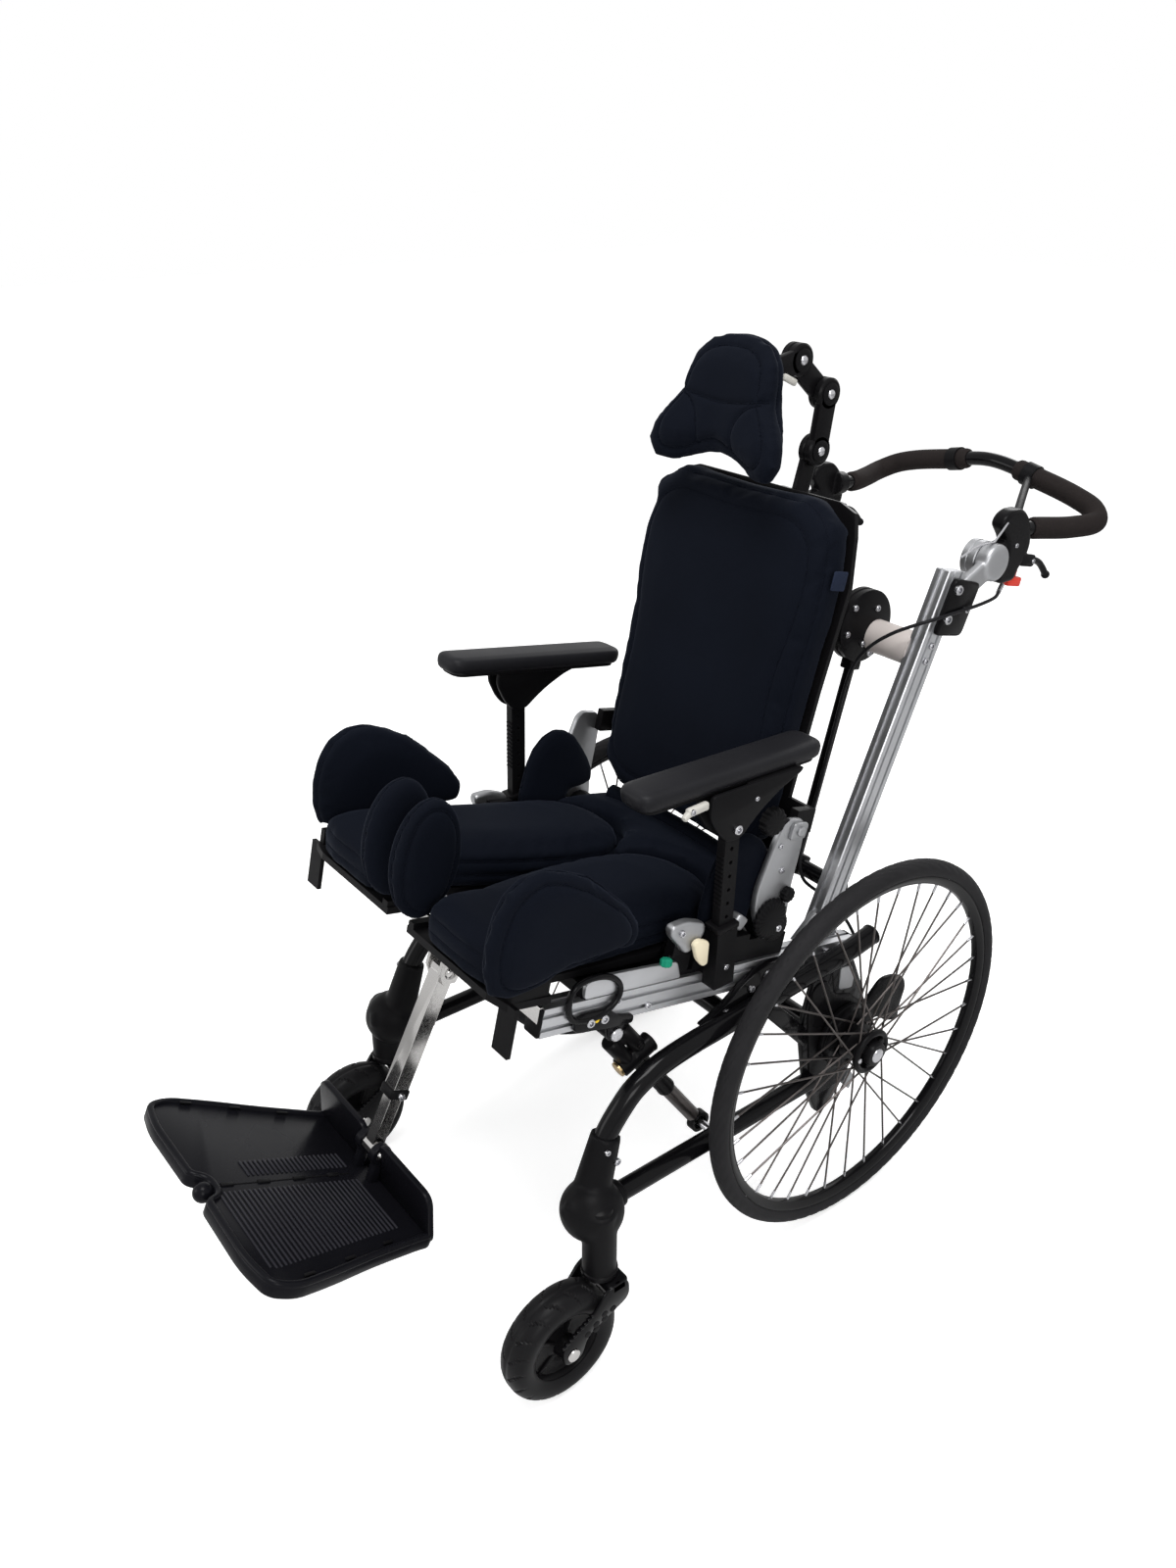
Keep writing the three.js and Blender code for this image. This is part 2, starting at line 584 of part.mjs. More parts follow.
function rearWheel() {
  const w = wheel;
  const half = [[w.rimHalfWidth, w.rimRadius], [w.rimRootHalfWidth, w.rimRoot]];
  const rim = turned([...half, ...half.slice().reverse().map(([x, r]) => [-x, r]), half[0]], w.facets)
    .translate([w.planeX, 0, 0]);
  const thick = w.flangeThickness;
  const bore = clear(w.axleRadius, w.hubSides);
  const hub = turned([
    [w.axleEnd, 0], [w.axleEnd, bore], [w.drumInner, bore],
    [w.drumInner, w.drumRadius], [w.drumOuter, w.drumRadius], [w.drumOuter, w.barrelRadius],
    [w.flangeInner, w.barrelRadius], [w.flangeInner, w.flangeRadius],
    [w.flangeInner + thick, w.flangeRadius], [w.flangeInner + thick, w.barrelRadius],
    [w.flangeOuter - thick, w.barrelRadius], [w.flangeOuter - thick, w.flangeRadius],
    [w.flangeOuter, w.flangeRadius], [w.flangeOuter, w.capRadius], [w.capEnd, w.capRadius],
    [w.capEnd, 0],
  ], w.hubSides);
  return join(rim, hub, spokes());
}

function buildChassis(group) {
  pair(group, 'side_frame', finish.frame, sideFrame());
  const flatReach = frame.tubeRadius * Math.cos(Math.PI / frame.tubeSides);
  const crossEnd = frame.tubeX - flatReach - 2 * gap;
  const cross = [frame.crossY, frame.crossZ];
  piece(group, 'front_cross_tube', finish.frame, pin(-crossEnd, crossEnd, cross, frame.crossRadius));
  const axleEnd = frame.plateInner - gap;
  const axle = [frame.axleTubeY, frame.axleTubeZ];
  piece(group, 'axle_cross_tube', finish.frame, pin(-axleEnd, axleEnd, axle, frame.axleTubeRadius));
  pair(group, 'caster_housing', finish.plastic, casterHousing());
  pair(group, 'caster_fork', finish.frame, casterFork());
  pair(group, 'caster_wheel', finish.rubber, casterWheel());
  pair(group, 'rear_wheel', finish.frame, rearWheel());
  pair(group, 'rear_tyre', finish.rubber, rearTyre());
}

// Seat frame

const tilt = rad(seat.tiltDeg);

function pivotPoint() {
  const y = seat.originY + seat.pivotV * Math.cos(tilt) + seat.pivotW * Math.sin(tilt);
  const z = seat.originZ - seat.pivotV * Math.sin(tilt) + seat.pivotW * Math.cos(tilt);
  return [y, z];
}

function toSeat([y, z]) {
  const dy = y - seat.originY;
  const dz = z - seat.originZ;
  return [dy * Math.cos(tilt) - dz * Math.sin(tilt), dy * Math.sin(tilt) + dz * Math.cos(tilt)];
}

function seatRail() {
  const r = rail;
  const middle = r.inner + r.width / 2;
  const body = block([r.inner, railOuter], [r.front, r.back], [-r.halfHeight, r.halfHeight]);
  const run = [r.front - overrun, r.back + overrun];
  const wide = r.grooveWidth / 2;
  const side = (w) => [w - wide, w + wide];
  const grooves = [
    block([railOuter - r.grooveDepth, railOuter + overrun], run, side(r.grooveW)),
    block([railOuter - r.grooveDepth, railOuter + overrun], run, side(-r.grooveW)),
    block([r.inner - overrun, r.inner + r.grooveDepth], run, side(0)),
    block([middle - wide, middle + wide], run, [r.halfHeight - r.grooveDepth, r.halfHeight + overrun]),
  ];
  const bore = pin(seat.pivotInner - gap, railOuter + overrun, [seat.pivotV, seat.pivotW],
    clear(seat.pivotRadius));
  const cableHole = rod([middle, r.back - overrun * 2, 0], [middle, r.back + overrun, 0],
    clear(cable.radius, cable.sides), cable.sides);
  return cut(body, grooves, bore, cableHole);
}

function uprightSolid() {
  const u = upright;
  const half = u.depth / 2;
  const foot = baseBottom;
  const drop = u.leanShare * half;
  const outer = u.inner + u.width;
  const body = plateX(u.inner, outer, [
    [lean(foot) - half, foot], [lean(foot) + half, foot],
    [lean(u.topW) + half, u.topW - drop], [lean(u.topW) - half, u.topW + drop],
  ]);
  const groove = (x, dv, width, depth) => bar(
    [x, lean(foot - overrun) + dv, foot - overrun],
    [x, lean(u.topW + overrun) + dv, u.topW + overrun], width, depth,
  );
  const middle = u.inner + u.width / 2;
  const gussetHalf = u.gussetThickness / 2;
  const gusset = (sign) => plateX(middle - gussetHalf, middle + gussetHalf, [
    [lean(foot), foot], [lean(foot) + sign * (half + u.gussetReach), foot],
    [lean(u.gussetHeight), foot + u.gussetHeight],
  ]);
  const grooved = cut(
    body,
    groove(outer, 0, 2 * u.grooveDepth, u.grooveWidth),
    groove(middle, half, u.grooveWidth, 2 * u.grooveDepth),
    groove(middle, -half, u.grooveWidth, 2 * u.grooveDepth),
  );
  return join(grooved, gusset(1), gusset(-1));
}

function backCrossbar() {
  const c = crossbar;
  const end = upright.inner - gap;
  const low = [lean(c.lowW) + upright.depth / 2 + gap + c.lowRadius + gap, c.lowW];
  const lowEnd = upright.inner + upright.width / 2;
  const clampW = c.w + c.clampLift;
  const made = [
    pin(-end, end, [lean(c.w), c.w], c.radius, c.sides),
    pin(-lowEnd, lowEnd, low, c.lowRadius),
  ];
  for (const side of [1, -1]) {
    const [near, far] = [side * c.clampX, side * (c.clampX + c.clampThickness)];
    made.push(pin(near, far, [c.clampV, clampW], c.clampRadius, c.clampSides));
    const rodTop = [side * c.rodX, c.clampV, clampW - c.rodReach];
    made.push(rod(rodTop, [side * c.rodX, ...low], c.rodRadius));
  }
  return join(made);
}

function strutBracket() {
  const p = loopPlate;
  const inner = railOuter + gap;
  const top = -baseBottom;
  const eye = [strut.topV, strut.topW];
  const lugGap = strut.eyeHalfWidth + gap;
  const [a, b] = [strut.x - lugGap - p.lugThickness, strut.x + lugGap + p.lugThickness];
  return join(
    cut(plateX(inner, inner + p.thickness, p.outer),
      plateX(inner - overrun, inner + p.thickness + overrun, p.hole)),
    block([a, inner + p.thickness], p.footV, [top - p.footThickness, top]),
    plateX(a, a + p.lugThickness, p.lug),
    plateX(b - p.lugThickness, b, p.lug),
    pin(a, b, eye, strut.pinRadius),
  );
}

function strutAxis() {
  const top = new THREE.Vector3(strut.x, strut.topV, strut.topW);
  const low = new THREE.Vector3(strut.x, ...toSeat(frame.strutPin));
  const along = low.clone().sub(top);
  const length = along.length();
  along.normalize();
  return { length, at: (s) => top.clone().addScaledVector(along, s).toArray() };
}

function tiltSleeve() {
  const s = strut;
  const { at } = strutAxis();
  const [, v, w] = at(s.lockAt);
  const [dv, dw] = [s.lockHalf * Math.cos(rad(s.lockDeg)), s.lockHalf * Math.sin(rad(s.lockDeg))];
  const eye = [s.topV, s.topW];
  const body = join(
    pin(s.x - s.eyeHalfWidth, s.x + s.eyeHalfWidth, eye, s.eyeRadius, s.sides),
    rod(at(s.eyeRadius / 2), at(s.boreStart), s.eyeHalfWidth, s.sides),
    rod(at(s.eyeRadius * 2), at(s.sleeveEnd), s.sleeveRadius, s.sides),
    rod([s.x, v - dv, w - dw], [s.x, v + dv, w + dw], s.lockRadius, s.sides),
  );
  return cut(
    body,
    rod(at(s.boreStart), at(s.sleeveEnd + overrun), s.boreRadius, s.sides),
    pin(s.x - s.eyeHalfWidth - overrun, s.x + s.eyeHalfWidth + overrun, eye, clear(s.pinRadius)),
  );
}

function tiltRod() {
  const s = strut;
  const { at, length } = strutAxis();
  const [, v, w] = at(length);
  const half = s.lowerEyeHalfWidth;
  const body = join(
    rod(at(length - s.rodLength), at(length - s.lowerEyeRadius / 2), s.rodRadius, s.sides),
    pin(s.x - half, s.x + half, [v, w], s.lowerEyeRadius, s.sides),
  );
  const slack = frame.strutPinRadius + s.lowerEyeSlack;
  return cut(body, pin(s.x - s.rodRadius - overrun, s.x + s.rodRadius + overrun, [v, w], slack));
}

function armAxis() {
  const a = rad(armSocket.leanDeg);
  return (s) => [armSocket.footV - s * Math.sin(a), s * Math.cos(a)];
}

function armX() {
  const inner = railOuter + gap + armSocket.wall;
  return { inner, outer: inner + armPost.width + 2 * gap, middle: inner + gap + armPost.width / 2 };
}

function seatSide() {
  const at = armAxis();
  const x = armX();
  const a = armSocket;
  const b = base;
  const outerWidth = x.outer - x.inner + 2 * a.wall;
  const depth = armPost.depth + 2 * gap;
  const socket = cut(
    bar([x.middle, ...at(a.bottom)], [x.middle, ...at(a.top)], outerWidth, depth + 2 * a.depthWall),
    bar([x.middle, ...at(a.bottom + a.floor)], [x.middle, ...at(a.top + overrun)],
      x.outer - x.inner, depth),
  );
  const lug = block([a.lugInner, railOuter + gap + gap], a.lugV, [baseBottom, a.lugTop]);
  const cast = block([b.castInner, b.castOuter], [b.castFront, b.castBack],
    [b.castBottom, b.castTop]);
  const castFoot = block([b.castInner, b.halfWidth], [b.castFront, b.castBack],
    [baseBottom, b.castTop]);
  const ribInner = b.halfWidth - b.ribWidth;
  return join(
    socket, lug, cast, castFoot,
    block([ribInner, b.halfWidth], [b.ribFront, b.ribBack], [baseBottom, b.ribTop]),
    block([ribInner, b.halfWidth], [b.ribFront, b.back], [baseBottom, b.rearRibTop]),
    pin(b.hubInner, b.hubOuter, [b.hubV, b.hubW], b.hubRadius, wheel.hubSides),
    pin(b.hubInner, b.hubPinEnd, [b.hubV, b.hubW], b.hubPin),
    rod([b.pivotX, b.pivotV, baseBottom], [b.pivotX, b.pivotV, thighPlate.bottom - gap],
      b.bossRadius, wheel.hubSides),
    block([b.padRibX, b.padRibX + b.padRibWidth], [b.padRibFront, b.padRibBack],
      [baseBottom, cushion.bottom - gap]),
  );
}

function mirrorSolid(solid) {
  return toSolid(toGeometry(solid, -1));
}

function seatBase() {
  const b = base;
  const top = baseBottom + b.plateThickness;
  const plate = block([-b.halfWidth, b.halfWidth], [b.front, b.back], [baseBottom, top]);
  const lip = block([-b.halfWidth, b.halfWidth], [b.front, b.front + b.lipThickness],
    [baseBottom, top + b.lipHeight]);
  const left = seatSide();
  const holes = [1, -1].map((side) => rod([side * b.pivotX, b.pivotV, baseBottom - overrun],
    [side * b.pivotX, b.pivotV, thighPlate.bottom], clear(b.pinRadius)));
  return cut(join(plate, lip, left, mirrorSolid(left)), holes);
}

function frontBarSolid() {
  const f = frontBar;
  const backFace = rail.front - gap;
  return join(
    block([-f.halfWidth, f.halfWidth], [backFace - f.thickness, backFace], [f.bottom, f.top]),
    plateX(f.lugInner, f.lugOuter, f.lugs),
    plateX(-f.lugOuter, -f.lugInner, f.lugs),
    pin(-f.lugOuter, f.lugOuter, f.hinge, f.pinRadius),
  );
}

function footAxis() {
  const [v, w] = frontBar.hinge;
  const [endV, endW] = footPost.plateHinge;
  const length = Math.hypot(endV - v, endW - w);
  const at = (s) => [0, v + ((endV - v) * s) / length, w + ((endW - w) * s) / length];
  return { length, at };
}

function footPostSolid() {
  const f = footPost;
  const { at } = footAxis();
  const body = join(
    pin(-f.eyeHalfWidth, f.eyeHalfWidth, frontBar.hinge, f.eyeRadius, wheel.hubSides),
    bar(at(0), at(f.upperEnd), f.width, f.width),
  );
  const hole = f.slideWidth + 2 * gap;
  return cut(
    body,
    bar(at(f.boreStart), at(f.upperEnd + overrun), hole, hole),
    pin(-f.width, f.width, frontBar.hinge, clear(frontBar.pinRadius)),
  );
}

function footSlide() {
  const f = footPost;
  const { at, length } = footAxis();
  const body = join(
    bar(at(f.slideStart), at(length), f.slideWidth, f.slideWidth),
    pin(-f.eyeHalfWidth, f.eyeHalfWidth, f.plateHinge, f.slideEyeRadius, wheel.hubSides),
  );
  return cut(body, pin(-f.width, f.width, f.plateHinge, clear(footplate.pinRadius)));
}

// The footplate lies in a group at its hinge; y runs back from the hinge
function footplateSolid() {
  const f = footplate;
  const half = f.outline.map(([x, front]) => [x, -front]);
  const outline = mirrored(half);
  const inset = drawnIn(outline, -f.rimWidth);
  const wall = f.wall.map(([front, z]) => [-front, z]);
  const lugInner = footPost.eyeHalfWidth + gap;
  const lugOuter = lugInner + f.knuckleWidth;
  const [rollerFront, rollerZ] = f.roller;
  const body = join(
    plateZ(f.bottom, f.top, outline),
    plateX(-f.wallHalf, f.wallHalf, wall),
    pin(-lugOuter, lugOuter, [0, 0], f.knuckleRadius, wheel.hubSides),
    ball([0, -rollerFront, rollerZ], f.rollerRadius),
  );
  const open = cut(
    body,
    plateZ(f.top - f.recess, f.top, inset),
    block([-lugInner, lugInner], [-f.knuckleRadius - overrun * 2, f.knuckleRadius + overrun * 2],
      [f.slotBottom, f.knuckleRadius + overrun * 2]),
  );
  return join(open, pin(-lugOuter, lugOuter, [0, 0], f.pinRadius));
}

// Arm supports

function armPostSolid(raise) {
  const at = armAxis();
  const { middle } = armX();
  const p = armPost;
  const end = at(p.top + raise);
  const half = p.width / 2;
  const body = join(
    bar([middle, ...at(p.bottom + raise)], [middle, ...end], p.width, p.depth),
    pin(middle - half, middle + half, end, p.depth / 2, wheel.hubSides),
  );
  const holes = [];
  for (let n = 0; n < p.holeCount; n += 1) {
    const place = at(p.holeStart + raise + n * p.holePitch);
    holes.push(pin(middle - half - overrun, middle + half + overrun, place, p.holeRadius, 6));
  }
  const bolt = pin(middle - half - overrun, middle + half + overrun, end, clear(p.boltRadius));
  return cut(body, holes, bolt);
}

// The pad lies in a group at its bolt
function armPadSolid() {
  const p = armPad;
  const bottom = p.rise - p.thickness;
  const [front, rear] = [-p.length / 2 + p.centreShift, p.length / 2 + p.centreShift];
  const c = p.cornerInset;
  const outline = [
    [p.inner, front + c], [p.inner, 0], [p.inner, rear - c], [p.inner + c, rear],
    [p.outer - c, rear], [p.outer, rear - c], [p.outer, 0], [p.outer, front + c],
    [p.outer - c, front], [p.inner + c, front],
  ];
  const half = p.bracketHalf;
  const round = p.bracketRound;
  const triangle = [
    [-half, bottom], [-half, bottom - p.bracketPlate], [-round, -round / 2], [0, -round],
    [round, -round / 2], [half, bottom - p.bracketPlate], [half, bottom],
  ];
  const bracket = cut(
    plateX(p.bracketInner, p.bracketOuter, triangle),
    block([armX().inner, armX().outer], [-half - overrun, half + overrun], [-half, p.slotTop]),
  );
  const top = pillow(outline, bottom, p.rise, c / 2, p.crown, flat, 20);
  return join(top, bracket, pin(p.bracketInner, p.bracketOuter, [0, 0], armPost.boltRadius));
}

function armPadGroup(raise, pitch) {
  const group = new THREE.Group();
  const [v, w] = armAxis()(armPost.top + raise);
  group.position.set(0, v, w);
  group.rotation.x = -rad(pitch);
  return group;
}

// Back and head

function backOutline(inset) {
  const b = back;
  const c = b.corner;
  const s = c / 4;
  const half = [
    [b.bottomHalf - c, b.bottom], [b.bottomHalf - s, b.bottom + s], [b.bottomHalf, b.bottom + c],
    [b.halfWidth, (b.bottom + b.top) / 2], [b.shoulderHalf, b.shoulderW],
    [b.topHalf, b.top - c], [b.topHalf - s, b.top - s], [b.topHalf - c, b.top],
  ];
  const outline = mirrored([[0, b.bottom], ...half, [0, b.top]]);
  return inset ? drawnIn(outline, inset) : outline;
}

function backShell() {
  const b = back;
  const front = b.rear + gap;
  const rear = front + b.shellThickness;
  const tabOuter = hipArm.inner - gap;
  const made = [plateY(front, rear, backOutline(b.shellInset))];
  for (const side of [1, -1]) {
    const span = (p, q) => (side > 0 ? [p, q] : [-q, -p]);
    made.push(block(span(b.halfWidth - b.corner, tabOuter), [front, rear], b.tabW));
    made.push(block(span(b.tabInner, tabOuter), [b.tabFront, rear], b.tabW));
  }
  made.push(block(b.clampX, [rear, rear + b.clampDepth], b.clampW));
  const slot = bar(...postEnds(), head.barThickness + 2 * gap, head.barDepth + 2 * gap);
  return cut(join(made), slot);
}

function postEnds() {
  const x = head.barInner + head.barThickness / 2;
  return [[x, ...head.postFoot], [x, ...head.postTop]];
}

function link(x0, x1, from, to, pinTo, pinSpan) {
  const h = head;
  const middle = (x0 + x1) / 2;
  const body = join(
    bar([middle, ...from], [middle, ...to], x1 - x0, h.barDepth),
    pin(x0, x1, from, h.eyeRadius, wheel.hubSides),
    pin(x0, x1, to, h.eyeRadius, wheel.hubSides),
  );
  const bored = cut(body, pin(x0 - overrun, x1 + overrun, from, clear(h.pinRadius)));
  return pinTo ? join(bored, pin(...pinSpan, to, h.pinRadius)) : bored;
}

function headLevels() {
  const a = head.barInner;
  const b = a + head.barThickness;
  return { a, b, c: b + gap, d: b + gap + head.linkThickness };
}

function headPost() {
  const h = head;
  const { a, b, d } = headLevels();
  return join(
    bar(...postEnds(), h.barThickness, h.barDepth),
    pin(a, b, h.postTop, h.eyeRadius, wheel.hubSides),
    pin(a, d + h.pinReach, h.postTop, h.pinRadius),
  );
}

function headCushion() {
  const h = head;
  const bend = (x) => (x / h.wingHalf) ** 2;
  const { c, d } = headLevels();
  const toPoint = (x, w, height) => {
    const wing = (h.frontCentre - h.front) * bend(x);
    return [x, h.rear - height - wing, w];
  };
  const depth = h.rear - h.frontCentre;
  const pad = pillow(mirrored(h.outline), 0, depth, h.edge, h.crown, toPoint, 26);
  const bracket = link(c, d, h.nod, h.bracketEnd, false);
  const plate = block([0, d + h.pinRadius], [h.rear - h.crown, h.rear + h.crown],
    [h.bracketEnd[1] - h.barDepth, h.bracketEnd[1] + h.barDepth / 2]);
  return join(pad, bracket, plate);
}

function buildBack(group) {
  const toPoint = (x, w, height) => [x, back.rear - height, w];
  const depth = back.rear - back.front;
  const pad = pillow(backOutline(0), 0, depth, back.edge, back.crown, toPoint, 26);
  const { a, b, c, d } = headLevels();
  const reach = head.pinReach;
  pair(group, 'hip_arm', finish.cast, cut(
    plateX(hipArm.inner, hipArm.inner + hipArm.thickness, hipArm.outline),
    pin(hipArm.inner - overrun, hipArm.inner + hipArm.thickness + overrun, [base.hubV, base.hubW],
      clear(base.hubPin)),
  ));
  piece(group, 'back_shell', finish.plastic, backShell());
  piece(group, 'back_cushion', finish.fabric, pad);
  piece(group, 'head_post', finish.plastic, headPost());
  piece(group, 'head_link_lower', finish.plastic,
    link(c, d, head.postTop, head.elbow, true, [a - reach, d]));
  piece(group, 'head_link_upper', finish.plastic,
    link(a, b, head.elbow, head.nod, true, [a, d + reach]));
  piece(group, 'head_cushion', finish.fabric, headCushion());
}

// Soft seat supports

const flat = (x, v, height) => [x, v, height];

function thighSupport(guideShift) {
  const t = thighPlate;
  const top = t.bottom + t.thickness;
  const pivot = [base.pivotX, base.pivotV];
  const lug = block(t.guideLug, t.guideLugV, [t.bottom, t.guideLugTop]);
  return join(
    plateZ(t.bottom, top, t.outline),
    rod([...pivot, t.bottom - t.pinLength], [...pivot, top], base.pinRadius),
    block(t.kneeLug, t.kneeLugV, [t.bottom, kneePad.w - kneePad.halfW - gap]),
    cut(lug, thighGuideSolid(guideShift).translate([0, 0, -gap])),
    block(t.flapX, t.flapV, [t.flapBottom, top]),
  );
}

function thighCushionSolid() {
  const t = thighCushion;
  return pillow(t.outline, t.bottom, t.top, t.edge, t.crown, flat, 26);
}

function seatCushion() {
  const c = cushion;
  const pad = pillow(mirrored(c.outline), c.bottom, c.top, c.edge, c.crown, flat, 28);
  const discs = [1, -1].map((side) => rod(
    [side * base.pivotX, base.pivotV, c.bottom - overrun],
    [side * base.pivotX, base.pivotV, c.top + overrun], c.clearRadius, c.clearSides,
  ));
  return cut(pad, discs);
}

function thighGuideSolid(shift) {
  const t = thighGuide;
  const outline = t.outline.map(([v, w]) => [v + shift, w]);
  const toPoint = (v, w, height) => [
    height + t.splayShare * (t.anchorV + shift - v), v, w,
  ];
  return lens(outline, t.x - t.thickness / 2, t.x + t.thickness / 2, t.edge, t.crown, toPoint);
}

const sideways = (v, w, height) => [height, v, w];

function kneePadSolid() {
  const k = kneePad;
  const outline = [];
  for (let n = 0; n < k.points; n += 1) {
    const angle = (2 * Math.PI * n) / k.points;
    outline.push([k.v + k.halfV * Math.cos(angle), k.w + k.halfW * Math.sin(angle)]);
  }
  return lens(outline, k.inner, k.outer, k.edge, k.crown, sideways);
}

function buildSupports(group) {
  piece(group, 'seat_cushion', finish.fabric, seatCushion());
  piece(group, 'thigh_support_left', finish.plastic, thighSupport(0));
  piece(group, 'thigh_support_right', finish.plastic, thighSupport(thighGuide.farShift), -1);
  pair(group, 'thigh_cushion', finish.fabric, thighCushionSolid());
  piece(group, 'thigh_guide_left', finish.fabric, thighGuideSolid(0));
  piece(group, 'thigh_guide_right', finish.fabric, thighGuideSolid(thighGuide.farShift), -1);
  pair(group, 'knee_pad', finish.fabric, kneePadSolid());
  const h = hipGuide;
  pair(group, 'hip_guide', finish.fabric,
    lens(h.outline, h.inner, h.outer, h.edge, h.crown, sideways));
}

// Push handle

function handleKnuckle() {
  const k = knuckle;
  const half = upright.depth / 2;
  const inner = upright.inner + upright.width + gap;
  const [low, high] = k.clampW;
  const neckV = (w) => lean(w) + k.neckOffset + half;
  const centre = [k.v, k.w];
  return join(
    pin(k.inner, k.outer, centre, k.radius, wheel.hubSides),
    rod([k.neckX, neckV(k.neckBottom), k.neckBottom], [k.neckX, ...centre], k.neckRadius),
    plateX(inner, inner + k.clampThickness, [
      [lean(low) - half, low], [neckV(low), low], [neckV(high), high], [lean(high) - half, high],
    ]),
    pin(k.pinEnd, k.outer, centre, k.pinRadius),
  );
}

function bowCurve() {
  const far = bow.half.slice(0, -1).reverse().map(([x, v, w]) => [-x, v, w]);
  return [...bow.half, ...far];
}

function gripSolid() {
  const curve = new THREE.CatmullRomCurve3(bowCurve().map((p) => new THREE.Vector3(...p)));
  const points = [];
  const count = bow.gripSteps;
  for (let n = 0; n <= count; n += 1) {
    const span = bow.gripEndShare - bow.gripStartShare;
    points.push(curve.getPointAt(bow.gripStartShare + (span * n) / count).toArray());
  }
  return tube(points, bow.gripRadius, bow.sides, count);
}

// The red catch lies below the left clamp box, and its stem runs up into a slot there
function catchPlaces() {
  const c = catchButton;
  const inner = bow.boxX[0];
  const bottom = bow.boxW[0];
  const stemInner = inner + c.stemInset;
  return {
    x: [inner, inner + c.width], stemX: [stemInner, stemInner + c.stemWidth],
    stemTop: bottom + c.stemReach, slotTop: bottom + c.slotReach,
  };
}

function bowSide() {
  const b = bow;
  const [from, to] = b.arm;
  const [boxIn, boxOut] = b.boxX;
  const eye = [knuckle.v, knuckle.w];
  const lug = (x0, x1) => join(
    pin(x0, x1, b.lever, b.lugRadius),
    block([x0, x1], [b.boxV[1] - overrun, b.lever[0]],
      [b.lever[1] - b.lugRadius, b.lever[1] + b.lugRadius]),
  );
  const body = join(
    gripSolid(),
    pin(b.eyeInner, b.eyeOuter, eye, knuckle.radius, wheel.hubSides),
    rod(from, to, b.armRadius),
    block(b.clampX, b.clampV, b.clampW),
    block(b.boxX, b.boxV, b.boxW),
    lug(boxIn, boxIn + b.lugThickness),
    lug(boxOut - b.lugThickness, boxOut),
    pin(boxIn, boxOut, b.lever, b.pinRadius),
    bar(b.braceFrom, b.braceTo, b.braceWidth, b.braceThickness),
  );
  const { stemX, slotTop } = catchPlaces();
  const [sx0, sx1] = stemX;
  const [sv0, sv1] = catchButton.stemV;
  return cut(
    body,
    pin(b.eyeInner - overrun, b.eyeOuter + overrun, eye, clear(knuckle.pinRadius)),
    block([sx0 - gap, sx1 + gap], [sv0 - gap, sv1 + gap], [b.boxW[0] - overrun, slotTop]),
  );
}

function pushBow() {
  const side = bowSide();
  return join(tube(bowCurve(), bow.tubeRadius, bow.sides, bow.steps), side, mirrorSolid(side));
}

function brakeLever() {
  const x = (bow.boxX[0] + bow.boxX[1]) / 2;
  const half = lever.thickness / 2;
  const [tv, tw] = lever.tip;
  const body = join(
    pin(x - half, x + half, bow.lever, lever.eyeRadius),
    bar([x, ...bow.lever], [x, ...lever.bend], lever.thickness, lever.depth),
    pin(x - half, x + half, lever.bend, lever.depth / 2),
    bar([x, ...lever.bend], [x, tv, tw], lever.thickness, lever.depth),
    ball([x, tv, tw], lever.ball),
  );
  return cut(body, pin(x - half - overrun, x + half + overrun, bow.lever, clear(bow.pinRadius)));
}

function lockCatch() {
  const c = catchButton;
  const { x, stemX, stemTop } = catchPlaces();
  return join(block(x, c.v, c.w), block(stemX, c.stemV, [c.w[0], stemTop]));
}

function buildSeat(group) {
  pair(group, 'seat_rail', finish.aluminium, seatRail());
  pair(group, 'upright', finish.aluminium, uprightSolid());
  piece(group, 'back_crossbar', finish.tube, backCrossbar());
  pair(group, 'strut_bracket', finish.frame, strutBracket());
  pair(group, 'tilt_sleeve', finish.frame, tiltSleeve());
  pair(group, 'tilt_rod', finish.frame, tiltRod());
  piece(group, 'seat_base', finish.plastic, seatBase());
  piece(group, 'front_bar', finish.chrome, frontBarSolid());
  pair(group, 'handle_knuckle', finish.cast, handleKnuckle());
  piece(group, 'push_bow', finish.foam, pushBow());
  pair(group, 'brake_lever', finish.plastic, brakeLever());
  piece(group, 'lock_catch', finish.red, lockCatch());
  piece(group, 'brake_cable', finish.plastic,
    tube(cable.route, cable.radius, cable.sides, cable.steps));
  piece(group, 'arm_post_left', finish.plastic, armPostSolid(0));
  piece(group, 'arm_post_right', finish.plastic, armPostSolid(armPost.farRaise), -1);
  const near = armPadGroup(0, armPad.nearPitch);
  piece(near, 'arm_pad_left', finish.satin, armPadSolid());
  const far = armPadGroup(armPost.farRaise, armPad.farPitch);
  piece(far, 'arm_pad_right', finish.satin, armPadSolid(), -1);
  piece(group, 'foot_post', finish.chrome, footPostSolid());
  piece(group, 'foot_slide', finish.chrome, footSlide());
  const plate = new THREE.Group();
  plate.position.set(0, ...footPost.plateHinge);
  plate.rotation.x = -rad(footplate.pitchDeg);
  piece(plate, 'footplate', finish.satin, footplateSolid());
  group.add(near, far, plate);
}

const model = new THREE.Group();
const chassis = new THREE.Group();
chassis.position.z = axleHeight;
buildChassis(chassis);
const seatUnit = new THREE.Group();
seatUnit.position.set(0, seat.originY, seat.originZ);
seatUnit.rotation.x = -tilt;
buildSeat(seatUnit);
buildBack(seatUnit);
buildSupports(seatUnit);
chassis.add(seatUnit);
model.add(chassis);

// The part's origin is on the floor, below the middle of its box
const box = new THREE.Box3().setFromObject(model, true);
model.position.y = -(box.min.y + box.max.y) / 2;

export default model;
